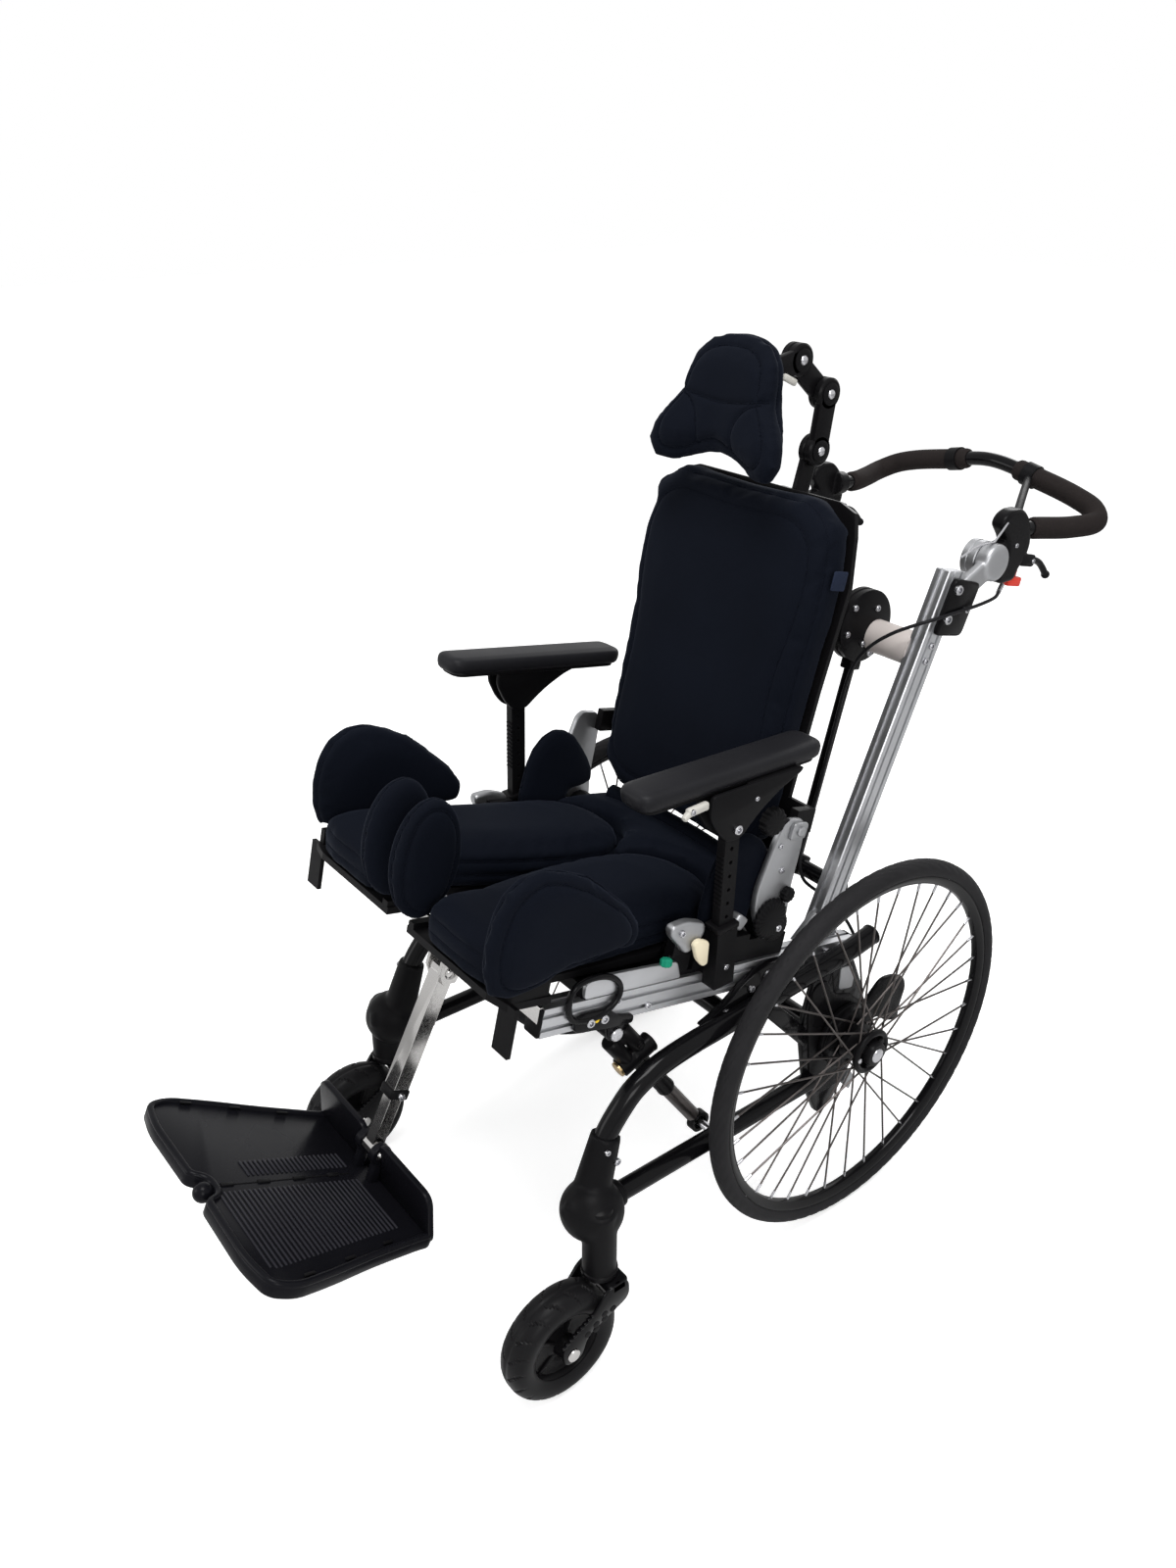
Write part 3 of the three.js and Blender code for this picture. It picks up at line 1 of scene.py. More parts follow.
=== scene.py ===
"""Looks of the tilt-in-space wheelchair: finishes, cushions, wheels, castings and small hardware.

Lengths are millimetres where they are written, and metres once placed. Chassis places are measured
from the middle of the rear axle line; seat places run back (v) and up (w) from the seat rail. A
piece's function takes its side as a word and as a sign: Form mirrors what is drawn for the left.
"""
import json
import math

import bmesh
import bpy
from bpy.props import FloatProperty, FloatVectorProperty, IntProperty, PointerProperty
from mathutils import Matrix, Vector, kdtree
from mathutils.bvhtree import BVHTree


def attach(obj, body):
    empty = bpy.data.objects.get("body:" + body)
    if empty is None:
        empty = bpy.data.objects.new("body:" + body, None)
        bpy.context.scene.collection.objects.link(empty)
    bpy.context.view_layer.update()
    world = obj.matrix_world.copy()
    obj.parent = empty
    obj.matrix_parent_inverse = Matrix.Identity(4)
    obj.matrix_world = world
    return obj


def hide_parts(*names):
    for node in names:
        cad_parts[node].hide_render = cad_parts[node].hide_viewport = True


bl_info = {
    "name": "Tilt-in-space wheelchair",
    "version": (1, 0, 0),
    "blender": (4, 5, 0),
    "location": "3D View > Sidebar > Wheelchair",
    "description": "Dresses the wheelchair's frame with its cushions, wheels, castings and finishes",
    "category": "Add Mesh",
}

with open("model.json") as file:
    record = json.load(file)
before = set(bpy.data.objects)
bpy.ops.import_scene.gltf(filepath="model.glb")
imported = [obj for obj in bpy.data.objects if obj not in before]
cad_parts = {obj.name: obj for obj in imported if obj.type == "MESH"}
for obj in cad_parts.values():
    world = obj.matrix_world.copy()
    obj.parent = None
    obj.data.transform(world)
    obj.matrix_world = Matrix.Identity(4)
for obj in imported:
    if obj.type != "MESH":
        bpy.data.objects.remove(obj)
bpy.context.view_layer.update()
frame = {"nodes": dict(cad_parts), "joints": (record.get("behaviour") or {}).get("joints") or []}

MM = 0.001
X_AXIS = Vector((1, 0, 0))
SIDES = (("left", 1), ("right", -1))
MERGE_DISTANCE = 0.01 * MM


def joint(name):
    """One of the frame's joints."""
    return next(j for j in frame["joints"] if j["name"] == name)


UP = Vector(joint("thigh_swing_left")["axis"]).normalized()
BACK = UP.cross(X_AXIS).normalized()
TILT_PIN = Vector((0, *joint("seat_tilt")["pos_m"][1:]))
RAIL_ZERO = TILT_PIN - BACK * 64 * MM + UP * 2 * MM
AXLE = Vector((0, *joint("wheel_spin_left")["pos_m"][1:]))
CASTER_AXLE = Vector((0, *joint("caster_spin_left")["pos_m"][1:]))


def chassis(x, y, z):
    """A place from the middle of the rear axle line."""
    return AXLE + Vector((x, y, z)) * MM


def seat(x, v, w):
    """A place from the seat rail: x to the side, v back and w up."""
    return RAIL_ZERO + X_AXIS * (x * MM) + BACK * (v * MM) + UP * (w * MM)


# Shapes


def curved(points, steps, loop=False):
    """A centripetal curve through the points, in evenly spaced steps."""
    knots = [Vector(p) for p in points]
    if loop:
        knots = [knots[-1], *knots, knots[0], knots[1]]
    else:
        knots = [knots[0] * 2 - knots[1], *knots, knots[-1] * 2 - knots[-2]]
    fine = []
    for a, b, c, d in zip(knots, knots[1:], knots[2:], knots[3:]):
        t1 = max((b - a).length, 1e-9) ** 0.5
        t2 = t1 + max((c - b).length, 1e-9) ** 0.5
        t3 = t2 + max((d - c).length, 1e-9) ** 0.5
        for n in range(24):
            t = t1 + (t2 - t1) * n / 24
            ab = a.lerp(b, t / t1)
            bc = b.lerp(c, (t - t1) / (t2 - t1))
            cd = c.lerp(d, (t - t2) / (t3 - t2))
            abc = ab.lerp(bc, t / t2)
            bcd = bc.lerp(cd, (t - t1) / (t3 - t1))
            fine.append(abc.lerp(bcd, (t - t1) / (t2 - t1)))
    fine.append(knots[-2].copy())
    lengths = [0.0]
    for a, b in zip(fine, fine[1:]):
        lengths.append(lengths[-1] + (b - a).length)
    spaced, k = [], 0
    for n in range(steps + 1):
        want = lengths[-1] * n / steps
        while k < len(fine) - 2 and lengths[k + 1] < want:
            k += 1
        span = max(lengths[k + 1] - lengths[k], 1e-12)
        spaced.append(fine[k].lerp(fine[k + 1], (want - lengths[k]) / span))
    return spaced[:-1] if loop else spaced


def drawn_in(outline, distance):
    """The outline moved inwards, whichever way round it runs."""
    area = sum(a[0] * b[1] - b[0] * a[1] for a, b in zip(outline, outline[1:] + outline[:1]))
    turn = 1 if area > 0 else -1
    moved = []
    for n, here in enumerate(outline):
        before = Vector(here) - Vector(outline[n - 1])
        after = Vector(outline[(n + 1) % len(outline)]) - Vector(here)
        a = Vector((-before.y, before.x)).normalized() * turn
        b = Vector((-after.y, after.x)).normalized() * turn
        middle = (a + b).normalized()
        reach = min(1 / max(middle.dot(a), 0.5), 1.6)
        moved.append(Vector(here) + middle * distance * reach)
    return [tuple(p) for p in moved]


def rounded(outline, radius, steps=4):
    """The outline with its corners rounded."""
    made = []
    for n, here in enumerate(outline):
        here = Vector(here)
        before, after = Vector(outline[n - 1]), Vector(outline[(n + 1) % len(outline)])
        reach = min(radius, (before - here).length * 0.45, (after - here).length * 0.45)
        start = here + (before - here).normalized() * reach
        end = here + (after - here).normalized() * reach
        for k in range(steps + 1):
            t = k / steps
            made.append(tuple(start.lerp(here, t).lerp(here.lerp(end, t), t)))
    return made


def stadium(start, end, radius, count=10):
    """A bar's outline with round ends."""
    a, b = Vector(start), Vector(end)
    heading = math.atan2((b - a).y, (b - a).x)
    made = []
    for centre, first in ((b, heading - math.pi / 2), (a, heading + math.pi / 2)):
        for n in range(count + 1):
            angle = first + math.pi * n / count
            made.append((centre.x + radius * math.cos(angle), centre.y + radius * math.sin(angle)))
    return made


class Form:
    """Closed shells of one finish, gathered into one mesh."""

    def __init__(self, side=1):
        self.mesh = bmesh.new()
        self.side = side

    def shell(self, rings, loop=False):
        """A closed skin over the rings, capped at both ends unless they loop."""
        rows = []
        for ring in rings:
            rows.append([self.mesh.verts.new((self.side * p[0], p[1], p[2])) for p in ring])
        ends = rows[1:] + rows[:1] if loop else rows[1:]
        for low, high in zip(rows, ends):
            for n in range(len(low)):
                m = (n + 1) % len(low)
                self.mesh.faces.new((low[n], low[m], high[m], high[n]))
        if not loop:
            self.mesh.faces.new(rows[0])
            self.mesh.faces.new(rows[-1])
        return self

    def tube(self, points, radius, sides=20, steps=0, loop=False):
        """A round bar along the points; radius is a size or one size for each point."""
        path = curved(points, steps, loop) if steps else [Vector(p) for p in points]
        count = len(path)
        radii = list(radius) if hasattr(radius, "__len__") else [radius] * count
        across, rings = None, []
        for n, here in enumerate(path):
            ahead = path[(n + 1) % count] if loop else path[min(n + 1, count - 1)]
            behind = path[n - 1] if loop or n else path[0]
            along = (ahead - behind).normalized()
            across = along.orthogonal() if across is None else across - along * across.dot(along)
            across.normalize()
            other = along.cross(across)
            ring = []
            for k in range(sides):
                angle = 2 * math.pi * k / sides
                offset = across * math.cos(angle) + other * math.sin(angle)
                ring.append(here + offset * radii[n] * MM)
            rings.append(ring)
        return self.shell(rings, loop)

    def turned(self, start, along, profile, sides=32, flutes=0, depth=0, across=None):
        """A turned solid: profile holds its distances along the axis and its radii."""
        axis = Vector(along).normalized()
        a = (Vector(across) if across else axis.orthogonal()).normalized()
        b = axis.cross(a)
        rings = []
        for distance, radius in profile:
            ring = []
            for n in range(sides):
                angle = 2 * math.pi * n / sides
                cut = depth * (0.5 - 0.5 * math.cos(flutes * angle)) if flutes else 0
                reach = max(radius - cut, 0.05) * MM
                offset = a * math.cos(angle) + b * math.sin(angle)
                ring.append(Vector(start) + axis * distance * MM + offset * reach)
            rings.append(ring)
        return self.shell(rings)

    def swept(self, centre, profile, steps, relief=None):
        """A ring about the X axis: profile is a closed outline of places along X and radii."""
        rings = []
        for n in range(steps):
            angle = 2 * math.pi * n / steps
            out = Vector((0, math.cos(angle), math.sin(angle)))
            ring = []
            for x, radius in profile:
                reach = radius - (relief(n, x, radius) if relief else 0)
                ring.append(centre + (X_AXIS * x + out * reach) * MM)
            rings.append(ring)
        return self.shell(rings, True)

    def ball(self, centre, radius, squash=1.0, rows=16):
        """A ball, pressed flat along Z by squash."""
        profile = []
        for n in range(rows + 1):
            angle = math.pi * n / rows
            profile.append((-radius * squash * math.cos(angle), max(radius * math.sin(angle), 0.05)))
        return self.turned(centre, (0, 0, 1), profile, 32)

    def plate(self, outline, place, low, high, edge=0.8):
        """A plate between two heights with eased edges; place gives a point its place."""
        layers = ((edge, low), (edge * 0.3, low + edge * 0.3), (0, low + edge),
                  (0, high - edge), (edge * 0.3, high - edge * 0.3), (edge, high))
        return self.shell([[place(*p, height) for p in drawn_in(outline, inset)]
                           for inset, height in layers])

    def bar(self, start, end, width, depth, edge=0.8, across=X_AXIS):
        """A rectangular bar whose width lies in the direction across."""
        start, end = Vector(start), Vector(end)
        length = (end - start).length / MM
        along = (end - start).normalized()
        side = (across - along * across.dot(along)).normalized()
        other = along.cross(side)
        outline = [(-width / 2, -depth / 2), (width / 2, -depth / 2),
                   (width / 2, depth / 2), (-width / 2, depth / 2)]
        corners = rounded(outline, min(edge * 2, width * 0.4, depth * 0.4), 3)
        return self.plate(
            corners, lambda a, b, h: start + (side * a + other * b + along * h) * MM,
            0, length, edge)

    def bolt(self, place, along, radius=5.5, height=5):
        """A socket screw's head."""
        return self.turned(place, along, (
            (-0.5, radius), (height * 0.75, radius), (height, radius * 0.86),
            (height, radius * 0.55), (height * 0.4, radius * 0.5)), 24)

    def dome(self, place, along, radius=9, height=5):
        """A domed button."""
        steps = [(height * math.sin(t), radius * math.cos(t)) for t in (0, 0.4, 0.8, 1.15, 1.45)]
        return self.turned(place, along, [(-0.5, radius), *steps], 28)

    def object(self, name, corner=32):
        """An object of the shells; edges sharper than corner degrees stay sharp."""
        bmesh.ops.recalc_face_normals(self.mesh, faces=self.mesh.faces)
        data = bpy.data.meshes.new(name)
        self.mesh.to_mesh(data)
        self.mesh.free()
        shade(data, corner)
        made = bpy.data.objects.new(name, data)
        bpy.context.scene.collection.objects.link(made)
        return made

    def piece(self, name, finish, body, slot, replaces=(), corner=32):
        """The shells as a finished piece on a body."""
        return dress(self.object(name, corner), finish, body, replaces)

    def casting(self, name, finish, body, slot, replaces=(), voxel=2.5, rounds=6):
        """The shells fused into one solid with soft fillets, as a casting has."""
        made = self.object(name)
        fuse = made.modifiers.new("Fuse", "REMESH")
        fuse.mode = "VOXEL"
        fuse.voxel_size = voxel * MM
        ease = made.modifiers.new("Ease", "SMOOTH")
        ease.factor = 0.6
        ease.iterations = rounds
        settle(made)
        shade(made.data, 180)
        return dress(made, finish, body, replaces)


def shade(data, corner):
    """Smooth shading, broken at edges sharper than corner degrees."""
    data.polygons.foreach_set("use_smooth", [True] * len(data.polygons))
    data.set_sharp_from_angle(angle=math.radians(corner))


def settle(made):
    """Puts the result of the piece's modifiers into its mesh."""
    graph = bpy.context.evaluated_depsgraph_get()
    data = bpy.data.meshes.new_from_object(made.evaluated_get(graph))
    made.modifiers.clear()
    old = made.data
    made.data = data
    bpy.data.meshes.remove(old)


def dress(made, finish, body, replaces=()):
    """Gives a piece its finish, its body and the nodes it stands for."""
    made.data.materials.clear()
    made.data.materials.append(FINISHES[finish])
    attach(made, body)
    if replaces:
        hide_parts(*replaces)
    return made


# Finishes


class Signal:
    """A socket whose sums and products add the Math nodes they need."""

    def __init__(self, nodes, socket):
        self.nodes = nodes
        self.socket = socket

    def _math(self, operation, first, second):
        return self.nodes.node("ShaderNodeMath", {"operation": operation}, {0: first, 1: second})

    def __add__(self, other):
        return self._math("ADD", self, other)

    __radd__ = __add__

    def __sub__(self, other):
        return self._math("SUBTRACT", self, other)

    def __rsub__(self, other):
        return self._math("SUBTRACT", other, self)

    def __mul__(self, other):
        return self._math("MULTIPLY", self, other)

    __rmul__ = __mul__

    def __pow__(self, other):
        return self._math("POWER", self, other)

    def most(self, other):
        """The larger of the two."""
        return self._math("MAXIMUM", self, other)

    def over(self, low, high):
        """0 below low, 1 above high."""
        return self.nodes.node("ShaderNodeMapRange", {"clamp": True},
                               {"Value": self, "From Min": low, "From Max": high})


class Nodes:
    """A node tree whose nodes are added by one method."""

    def __init__(self, tree):
        self.tree = tree

    def node(self, kind, settings, inputs, output=0):
        """Adds a node: its settings are set first, then its sockets' values or links."""
        made = self.tree.nodes.new(kind)
        for key, value in settings.items():
            setattr(made, key, value)
        for key, value in inputs.items():
            if isinstance(value, Signal):
                self.tree.links.new(value.socket, made.inputs[key])
            else:
                made.inputs[key].default_value = value
        return Signal(self, made.outputs[output])


class Finish(Nodes):
    """A Principled material with patterns in the piece's own coordinates."""

    def __init__(self, name, **constants):
        self.material = bpy.data.materials.new(name)
        self.material.use_nodes = True
        super().__init__(self.material.node_tree)
        self.shader = self.tree.nodes["Principled BSDF"]
        for socket, value in constants.items():
            self.shader.inputs[socket.replace("_", " ")].default_value = value
        self.place = self.node("ShaderNodeTexCoord", {}, {}, "Object")

    def noise(self, scale, detail=3, stretch=None):
        place = self.place
        if stretch:
            place = self.node("ShaderNodeMapping", {}, {"Vector": place, "Scale": stretch})
        return self.node("ShaderNodeTexNoise", {},
                         {"Vector": place, "Scale": scale, "Detail": detail})

    def cells(self, scale):
        return self.node("ShaderNodeTexVoronoi", {},
                         {"Vector": self.place, "Scale": scale}, "Distance")

    def blend(self, share, low, high):
        """A colour between two, by the share."""
        return self.node("ShaderNodeMix", {"data_type": "RGBA"},
                         {"Factor": share, 6: (*low, 1), 7: (*high, 1)}, 2)

    def feed(self, **links):
        """Links signals to the shader's sockets."""
        for socket, value in links.items():
            self.tree.links.new(value.socket, self.shader.inputs[socket.replace("_", " ")])
        return self

    def bump(self, height, distance, strength=1.0):
        made = self.node("ShaderNodeBump", {},
                         {"Height": height, "Distance": distance * MM, "Strength": strength}, "Normal")
        return self.feed(Normal=made)


def scaled(colour, share):
    """The colour made darker or lighter."""
    return tuple(min(1.0, c * share) for c in colour)


def paint(name, colour, roughness, coat=0.08):
    """Powder coat: fine orange peel, faint smears and a few dull rubs."""
    made = Finish(name, Coat_Weight=coat, Coat_Roughness=0.06, Specular_IOR_Level=0.07)
    smear = made.noise(9, 5)
    rubs = made.noise(60, 6).over(0.62, 0.75)
    made.feed(Base_Color=made.blend(smear, scaled(colour, 0.8), scaled(colour, 1.5)),
              Roughness=smear * 0.16 + rubs * 0.12 + (roughness - 0.08))
    return made.bump(made.noise(1400, 2), 0.02, 0.35).material


def metal(name, colour, roughness, grain=None, speckle=0.0):
    """Bare or plated metal; grain stretches its fine lines along the piece."""
    made = Finish(name, Metallic=1.0)
    lines = made.noise(260, 3, grain or (1, 1, 1))
    haze = made.noise(14, 4)
    made.feed(Base_Color=made.blend(haze, scaled(colour, 0.86), scaled(colour, 1.08)),
              Roughness=lines * 0.14 + haze * 0.1 + (roughness - 0.12))
    height = lines * 0.4 + made.noise(1800, 2) * speckle
    return made.bump(height, 0.03, 0.4).material


def plastic(name, colour, roughness, grain=0.5):
    """Moulded plastic: fine spark grain and uneven shine."""
    made = Finish(name, Specular_IOR_Level=0.06)
    haze = made.noise(11, 4)
    made.feed(Base_Color=made.blend(haze, scaled(colour, 0.85), scaled(colour, 1.35)),
              Roughness=haze * 0.16 + (roughness - 0.08))
    return made.bump(made.cells(1500) * grain + made.noise(2600, 1) * 0.4, 0.04, 0.35).material


def knit(name, low, high):
    """Soft stretch cover: fine knit, faint lint and a broad change of shade."""
    made = Finish(name, Sheen_Weight=0.035, Sheen_Roughness=0.4, Sheen_Tint=(0.5, 0.6, 0.85, 1),
                  Specular_IOR_Level=0.04)
    broad = made.noise(7, 3)
    stitch = made.cells(1250)
    lint = made.noise(420, 2, (1, 1, 2.4)).over(0.66, 0.8)
    share = broad * 0.55 + stitch * 0.35 + lint * 0.25
    made.feed(Base_Color=made.blend(share, low, high), Roughness=stitch * 0.1 + 0.74)
    return made.bump(stitch * 0.6 + made.noise(90, 4) * 0.8, 0.25, 0.35).material


def skin(name, colour):
    """Satin cover of the arm pads: fine leather-like grain."""
    made = Finish(name, Specular_IOR_Level=0.1)
    creases = made.cells(620)
    haze = made.noise(12, 4)
    share = haze * 0.7 + creases * 0.3
    made.feed(Base_Color=made.blend(share, scaled(colour, 0.8), scaled(colour, 1.4)),
              Roughness=haze * 0.18 + 0.36)
    return made.bump(creases, 0.12, 0.4).material


def rubber(name, colour, roughness):
    """Tyre rubber: dusty, with a dull grey bloom."""
    made = Finish(name, Specular_IOR_Level=0.06)
    dust = made.noise(26, 6)
    bloom = made.noise(5, 3)
    share = dust * 0.6 + bloom * 0.4
    made.feed(Base_Color=made.blend(share, scaled(colour, 0.6), scaled(colour, 1.7)),
              Roughness=dust * 0.15 + (roughness - 0.08))
    return made.bump(made.noise(900, 4), 0.08, 0.5).material


def foam(name, colour):
    """Soft grip foam: matt, with open cells."""
    made = Finish(name, Specular_IOR_Level=0.06)
    cells = made.cells(900)
    share = cells * 0.8 + made.noise(40, 3) * 0.3
    made.feed(Base_Color=made.blend(share, scaled(colour, 0.6), scaled(colour, 1.5)),
              Roughness=cells * 0.1 + 0.75)
    return made.bump(cells, 0.2, 0.5).material


FINISHES = {}


def make_finishes(colours):
    """Every material by its name."""
    black = tuple(colours.frame)
    grey = tuple(colours.aluminium)
    navy, shade_navy = tuple(colours.cover), scaled(tuple(colours.cover), 0.3)
    FINISHES.update({
        "black_paint": paint("black powder coat", black, 0.16),
        "warm_tube": paint("warm grey tube", (0.38, 0.345, 0.33), 0.42, 0.05),
        "extrusion": metal("satin extrusion", grey, 0.42, (1, 0.04, 0.3)),
        "casting": metal("blasted casting", scaled(grey, 0.76), 0.46, None, 1.5),
        "chrome": metal("chrome", (0.5, 0.49, 0.48), 0.13),
        "steel": metal("dark steel", (0.085, 0.075, 0.072), 0.36),
        "zinc": metal("zinc screws", (0.46, 0.46, 0.48), 0.26),
        "brass": metal("brass ring", (0.55, 0.4, 0.2), 0.3),
        "nylon": plastic("black nylon", (0.004, 0.0039, 0.0044), 0.44),
        "satin_black": plastic("satin black", (0.0045, 0.0043, 0.0048), 0.28, 0.25),
        "ribbed_black": plastic("footplate black", (0.0045, 0.0045, 0.006), 0.26, 0.3),
        # Footplate ribs: the board's black lightened to a dark grey, a painted highlight for the light
        # that the ribs catch
        "rib_painted_highlight": plastic("footplate ribs painted highlight", (0.018, 0.018, 0.022), 0.2, 0.3),
        "ivory": plastic("ivory", (0.68, 0.61, 0.45), 0.4, 0.2),
        "green": plastic("green", (0.01, 0.2, 0.12), 0.38, 0.2),
        "red": plastic("red", (0.58, 0.05, 0.035), 0.36, 0.2),
        "yellow": plastic("yellow", (0.75, 0.5, 0.03), 0.45, 0.2),
        "grey_plastic": plastic("grey", (0.42, 0.41, 0.38), 0.4, 0.2),
        "knit": knit("navy stretch cover", shade_navy, navy),
        "tag": knit("navy tag", scaled(navy, 1.6), scaled(navy, 4.5)),
        "skin": skin("charcoal pad", tuple(colours.pad)),
        "tyre": rubber("tyre rubber", tuple(colours.tyre), 0.62),
        "caster_tyre": rubber("caster rubber", scaled(tuple(colours.tyre), 0.55), 0.36),
        "foam": foam("grip foam", (0.014, 0.0115, 0.0112)),
        "jacket": rubber("cable jacket", (0.008, 0.008, 0.009), 0.4),
    })


# Places and outlines, in millimetres

TUBE_X = 240
TOP_TUBE = ((-470, 2), (-462, 30), (-447, 57), (-429, 80), (-406, 102), (-377, 116), (-351, 123),
            (-298, 129), (-253, 131), (-120, 139), (4, 147), (46, 154))
LOWER_TUBE = ((-440, -61), (-58, -64))
AXLE_PLATE = ((-60, 140), (-68, 100), (-78, 60), (-81, 24), (-65, -58), (-52, -97), (-29, -148),
              (-5, -148), (22, -114), (42, -60), (54, 0), (46, 60), (24, 110), (8, 145))
TILT_BRACKET = ((-284, 135), (-240, 150), (-205, 172), (-178, 182), (-155, 185), (-128, 181),
                (-104, 164), (-92, 146))
STRUT_PIN = (-252, -58)
WHEEL_X = 281
CASTER_X, CASTER_STEM_Y, CASTER_Y = 275, -487, -555
CROWN_TOP = 163.4 - AXLE.z / MM
CASTER_Z = (CASTER_AXLE.z - AXLE.z) / MM
STRUT_X = 205
BOW = ((168, 440, 627), (176, 490, 632), (196, 545, 641), (206, 588, 654), (188, 603, 669),
       (153, 604, 681), (85, 603, 695), (0, 596, 708))
KNUCKLE = (357, 582)
LEVER = (478, 586)
POST_TOP, ELBOW, NOD, HEAD_END = (141, 684), (134.5, 758), (67, 792), (16, 768)
HIP_ARM = ((34, 60), (8, 98), (3, 130), (10, 165), (16, 194), (23, 224), (34, 233), (60, 231),
           (69, 220), (71, 192), (71, 160), (71, 124), (78, 88), (70, 56), (48, 54))
UPRIGHT_SECTION = (
    (204.2, -18.6), (204.2, -11), (201.6, -10.4), (201.6, -6.6), (204.2, -6), (204.2, 6),
    (201.6, 6.6), (201.6, 10.4), (204.2, 11), (204.2, 18.6), (202.8, 20), (196, 20), (195.5, 17),
    (189.5, 17), (189, 20), (182.4, 20), (181, 18.6), (181, 4), (184, 3.4), (184, -3.4), (181, -4),
    (181, -18.6), (182.4, -20), (189, -20), (189.5, -17), (195.5, -17), (196, -20), (202.8, -20))
FOOTPLATE_EDGE = ((146, -26), (150, 0), (168, 80), (188, 150), (200, 205), (190, 238), (140, 249),
                  (26, 247), (15, 226))
HOUSING = ((378, 630), (382, 644), (396, 654), (420, 658), (438, 648), (448, 636), (458, 620),
           (462, 604), (458, 586), (449, 574), (446, 556), (414, 548), (402, 558), (406, 578),
           (412, 594), (402, 612))
ANCHOR_RING = ((-282, 2), (-290, 24), (-284, 45), (-262, 53), (-232, 50), (-214, 38), (-209, 24),
               (-217, 8), (-238, -4), (-266, -5))
CABLE = ((198, 404, 550), (206, 388, 544), (216.4, 366, 536), (216.6, 334, 525), (215.4, 296, 515),
         (215.2, 262, 507), (212, 240, 500), (196, 226, 488), (172, 216, 470), (146, 212, 445),
         (126, 214, 415), (116, 219, 380), (113, 222, 320), (113, 222, 240), (113, 221, 160),
         (118, 213, 115), (134, 212, 84), (158, 240, 62), (184, 264, 38), (199, 279, 14),
         (204, 281, 2), (204, 272, 0), (204, 260, 0), (204, 248, 0))
CABLE_RADIUS = 2.5
FRONT_TUBE, AXLE_TUBE = (-215, 118), (-20, 0)
STRUT_TOP = (-196, -41)
LOCK_ANGLE = math.radians(34.5)
RAIL_FRONT, RAIL_BACK = -322, 258
CROSSBAR_W, CLAMP_X, CLAMP = 450, 101, (237, 463)
BACK_ROD = (229.6, 92)
FOOT_HINGE, FOOT_PIVOT = (-316, -38), (-384, -300)
FOOT_PITCH = math.radians(12.9)
ARM_X, ARM_FOOT, ARM_LEAN = 209, -38, math.radians(12)
ARM_PADS = (("left", 1, 245, -10.9), ("right", -1, 261, -3))
GRIP_SPAN, COLLAR_SPAN = (0.045, 0.442), (0.392, 0.418)


def on_chassis(y, z, x):
    """An upright plate's place on the chassis."""
    return chassis(x, y, z)


def on_seat(v, w, x):
    """An upright plate's place on the seat."""
    return seat(x, v, w)


def lean(w):
    """Where the middle of an upright stands at a height."""
    return 191.7 + 0.1635 * (w - 20)


def bow_line():
    """The push bow's middle line, from its left end to its right."""
    return [seat(*p) for p in BOW] + [seat(-x, v, w) for x, v, w in reversed(BOW[:-1])]


def bolts(name, body, heads, finish="zinc", slot="chrome", side=1):
    """Screw heads of one finish on one body: each has its place, direction, radius and height."""
    made = Form(side)
    for place, along, radius, height in heads:
        made.bolt(place, along, radius, height)
    return made.piece(name, finish, body, slot)


# Chassis


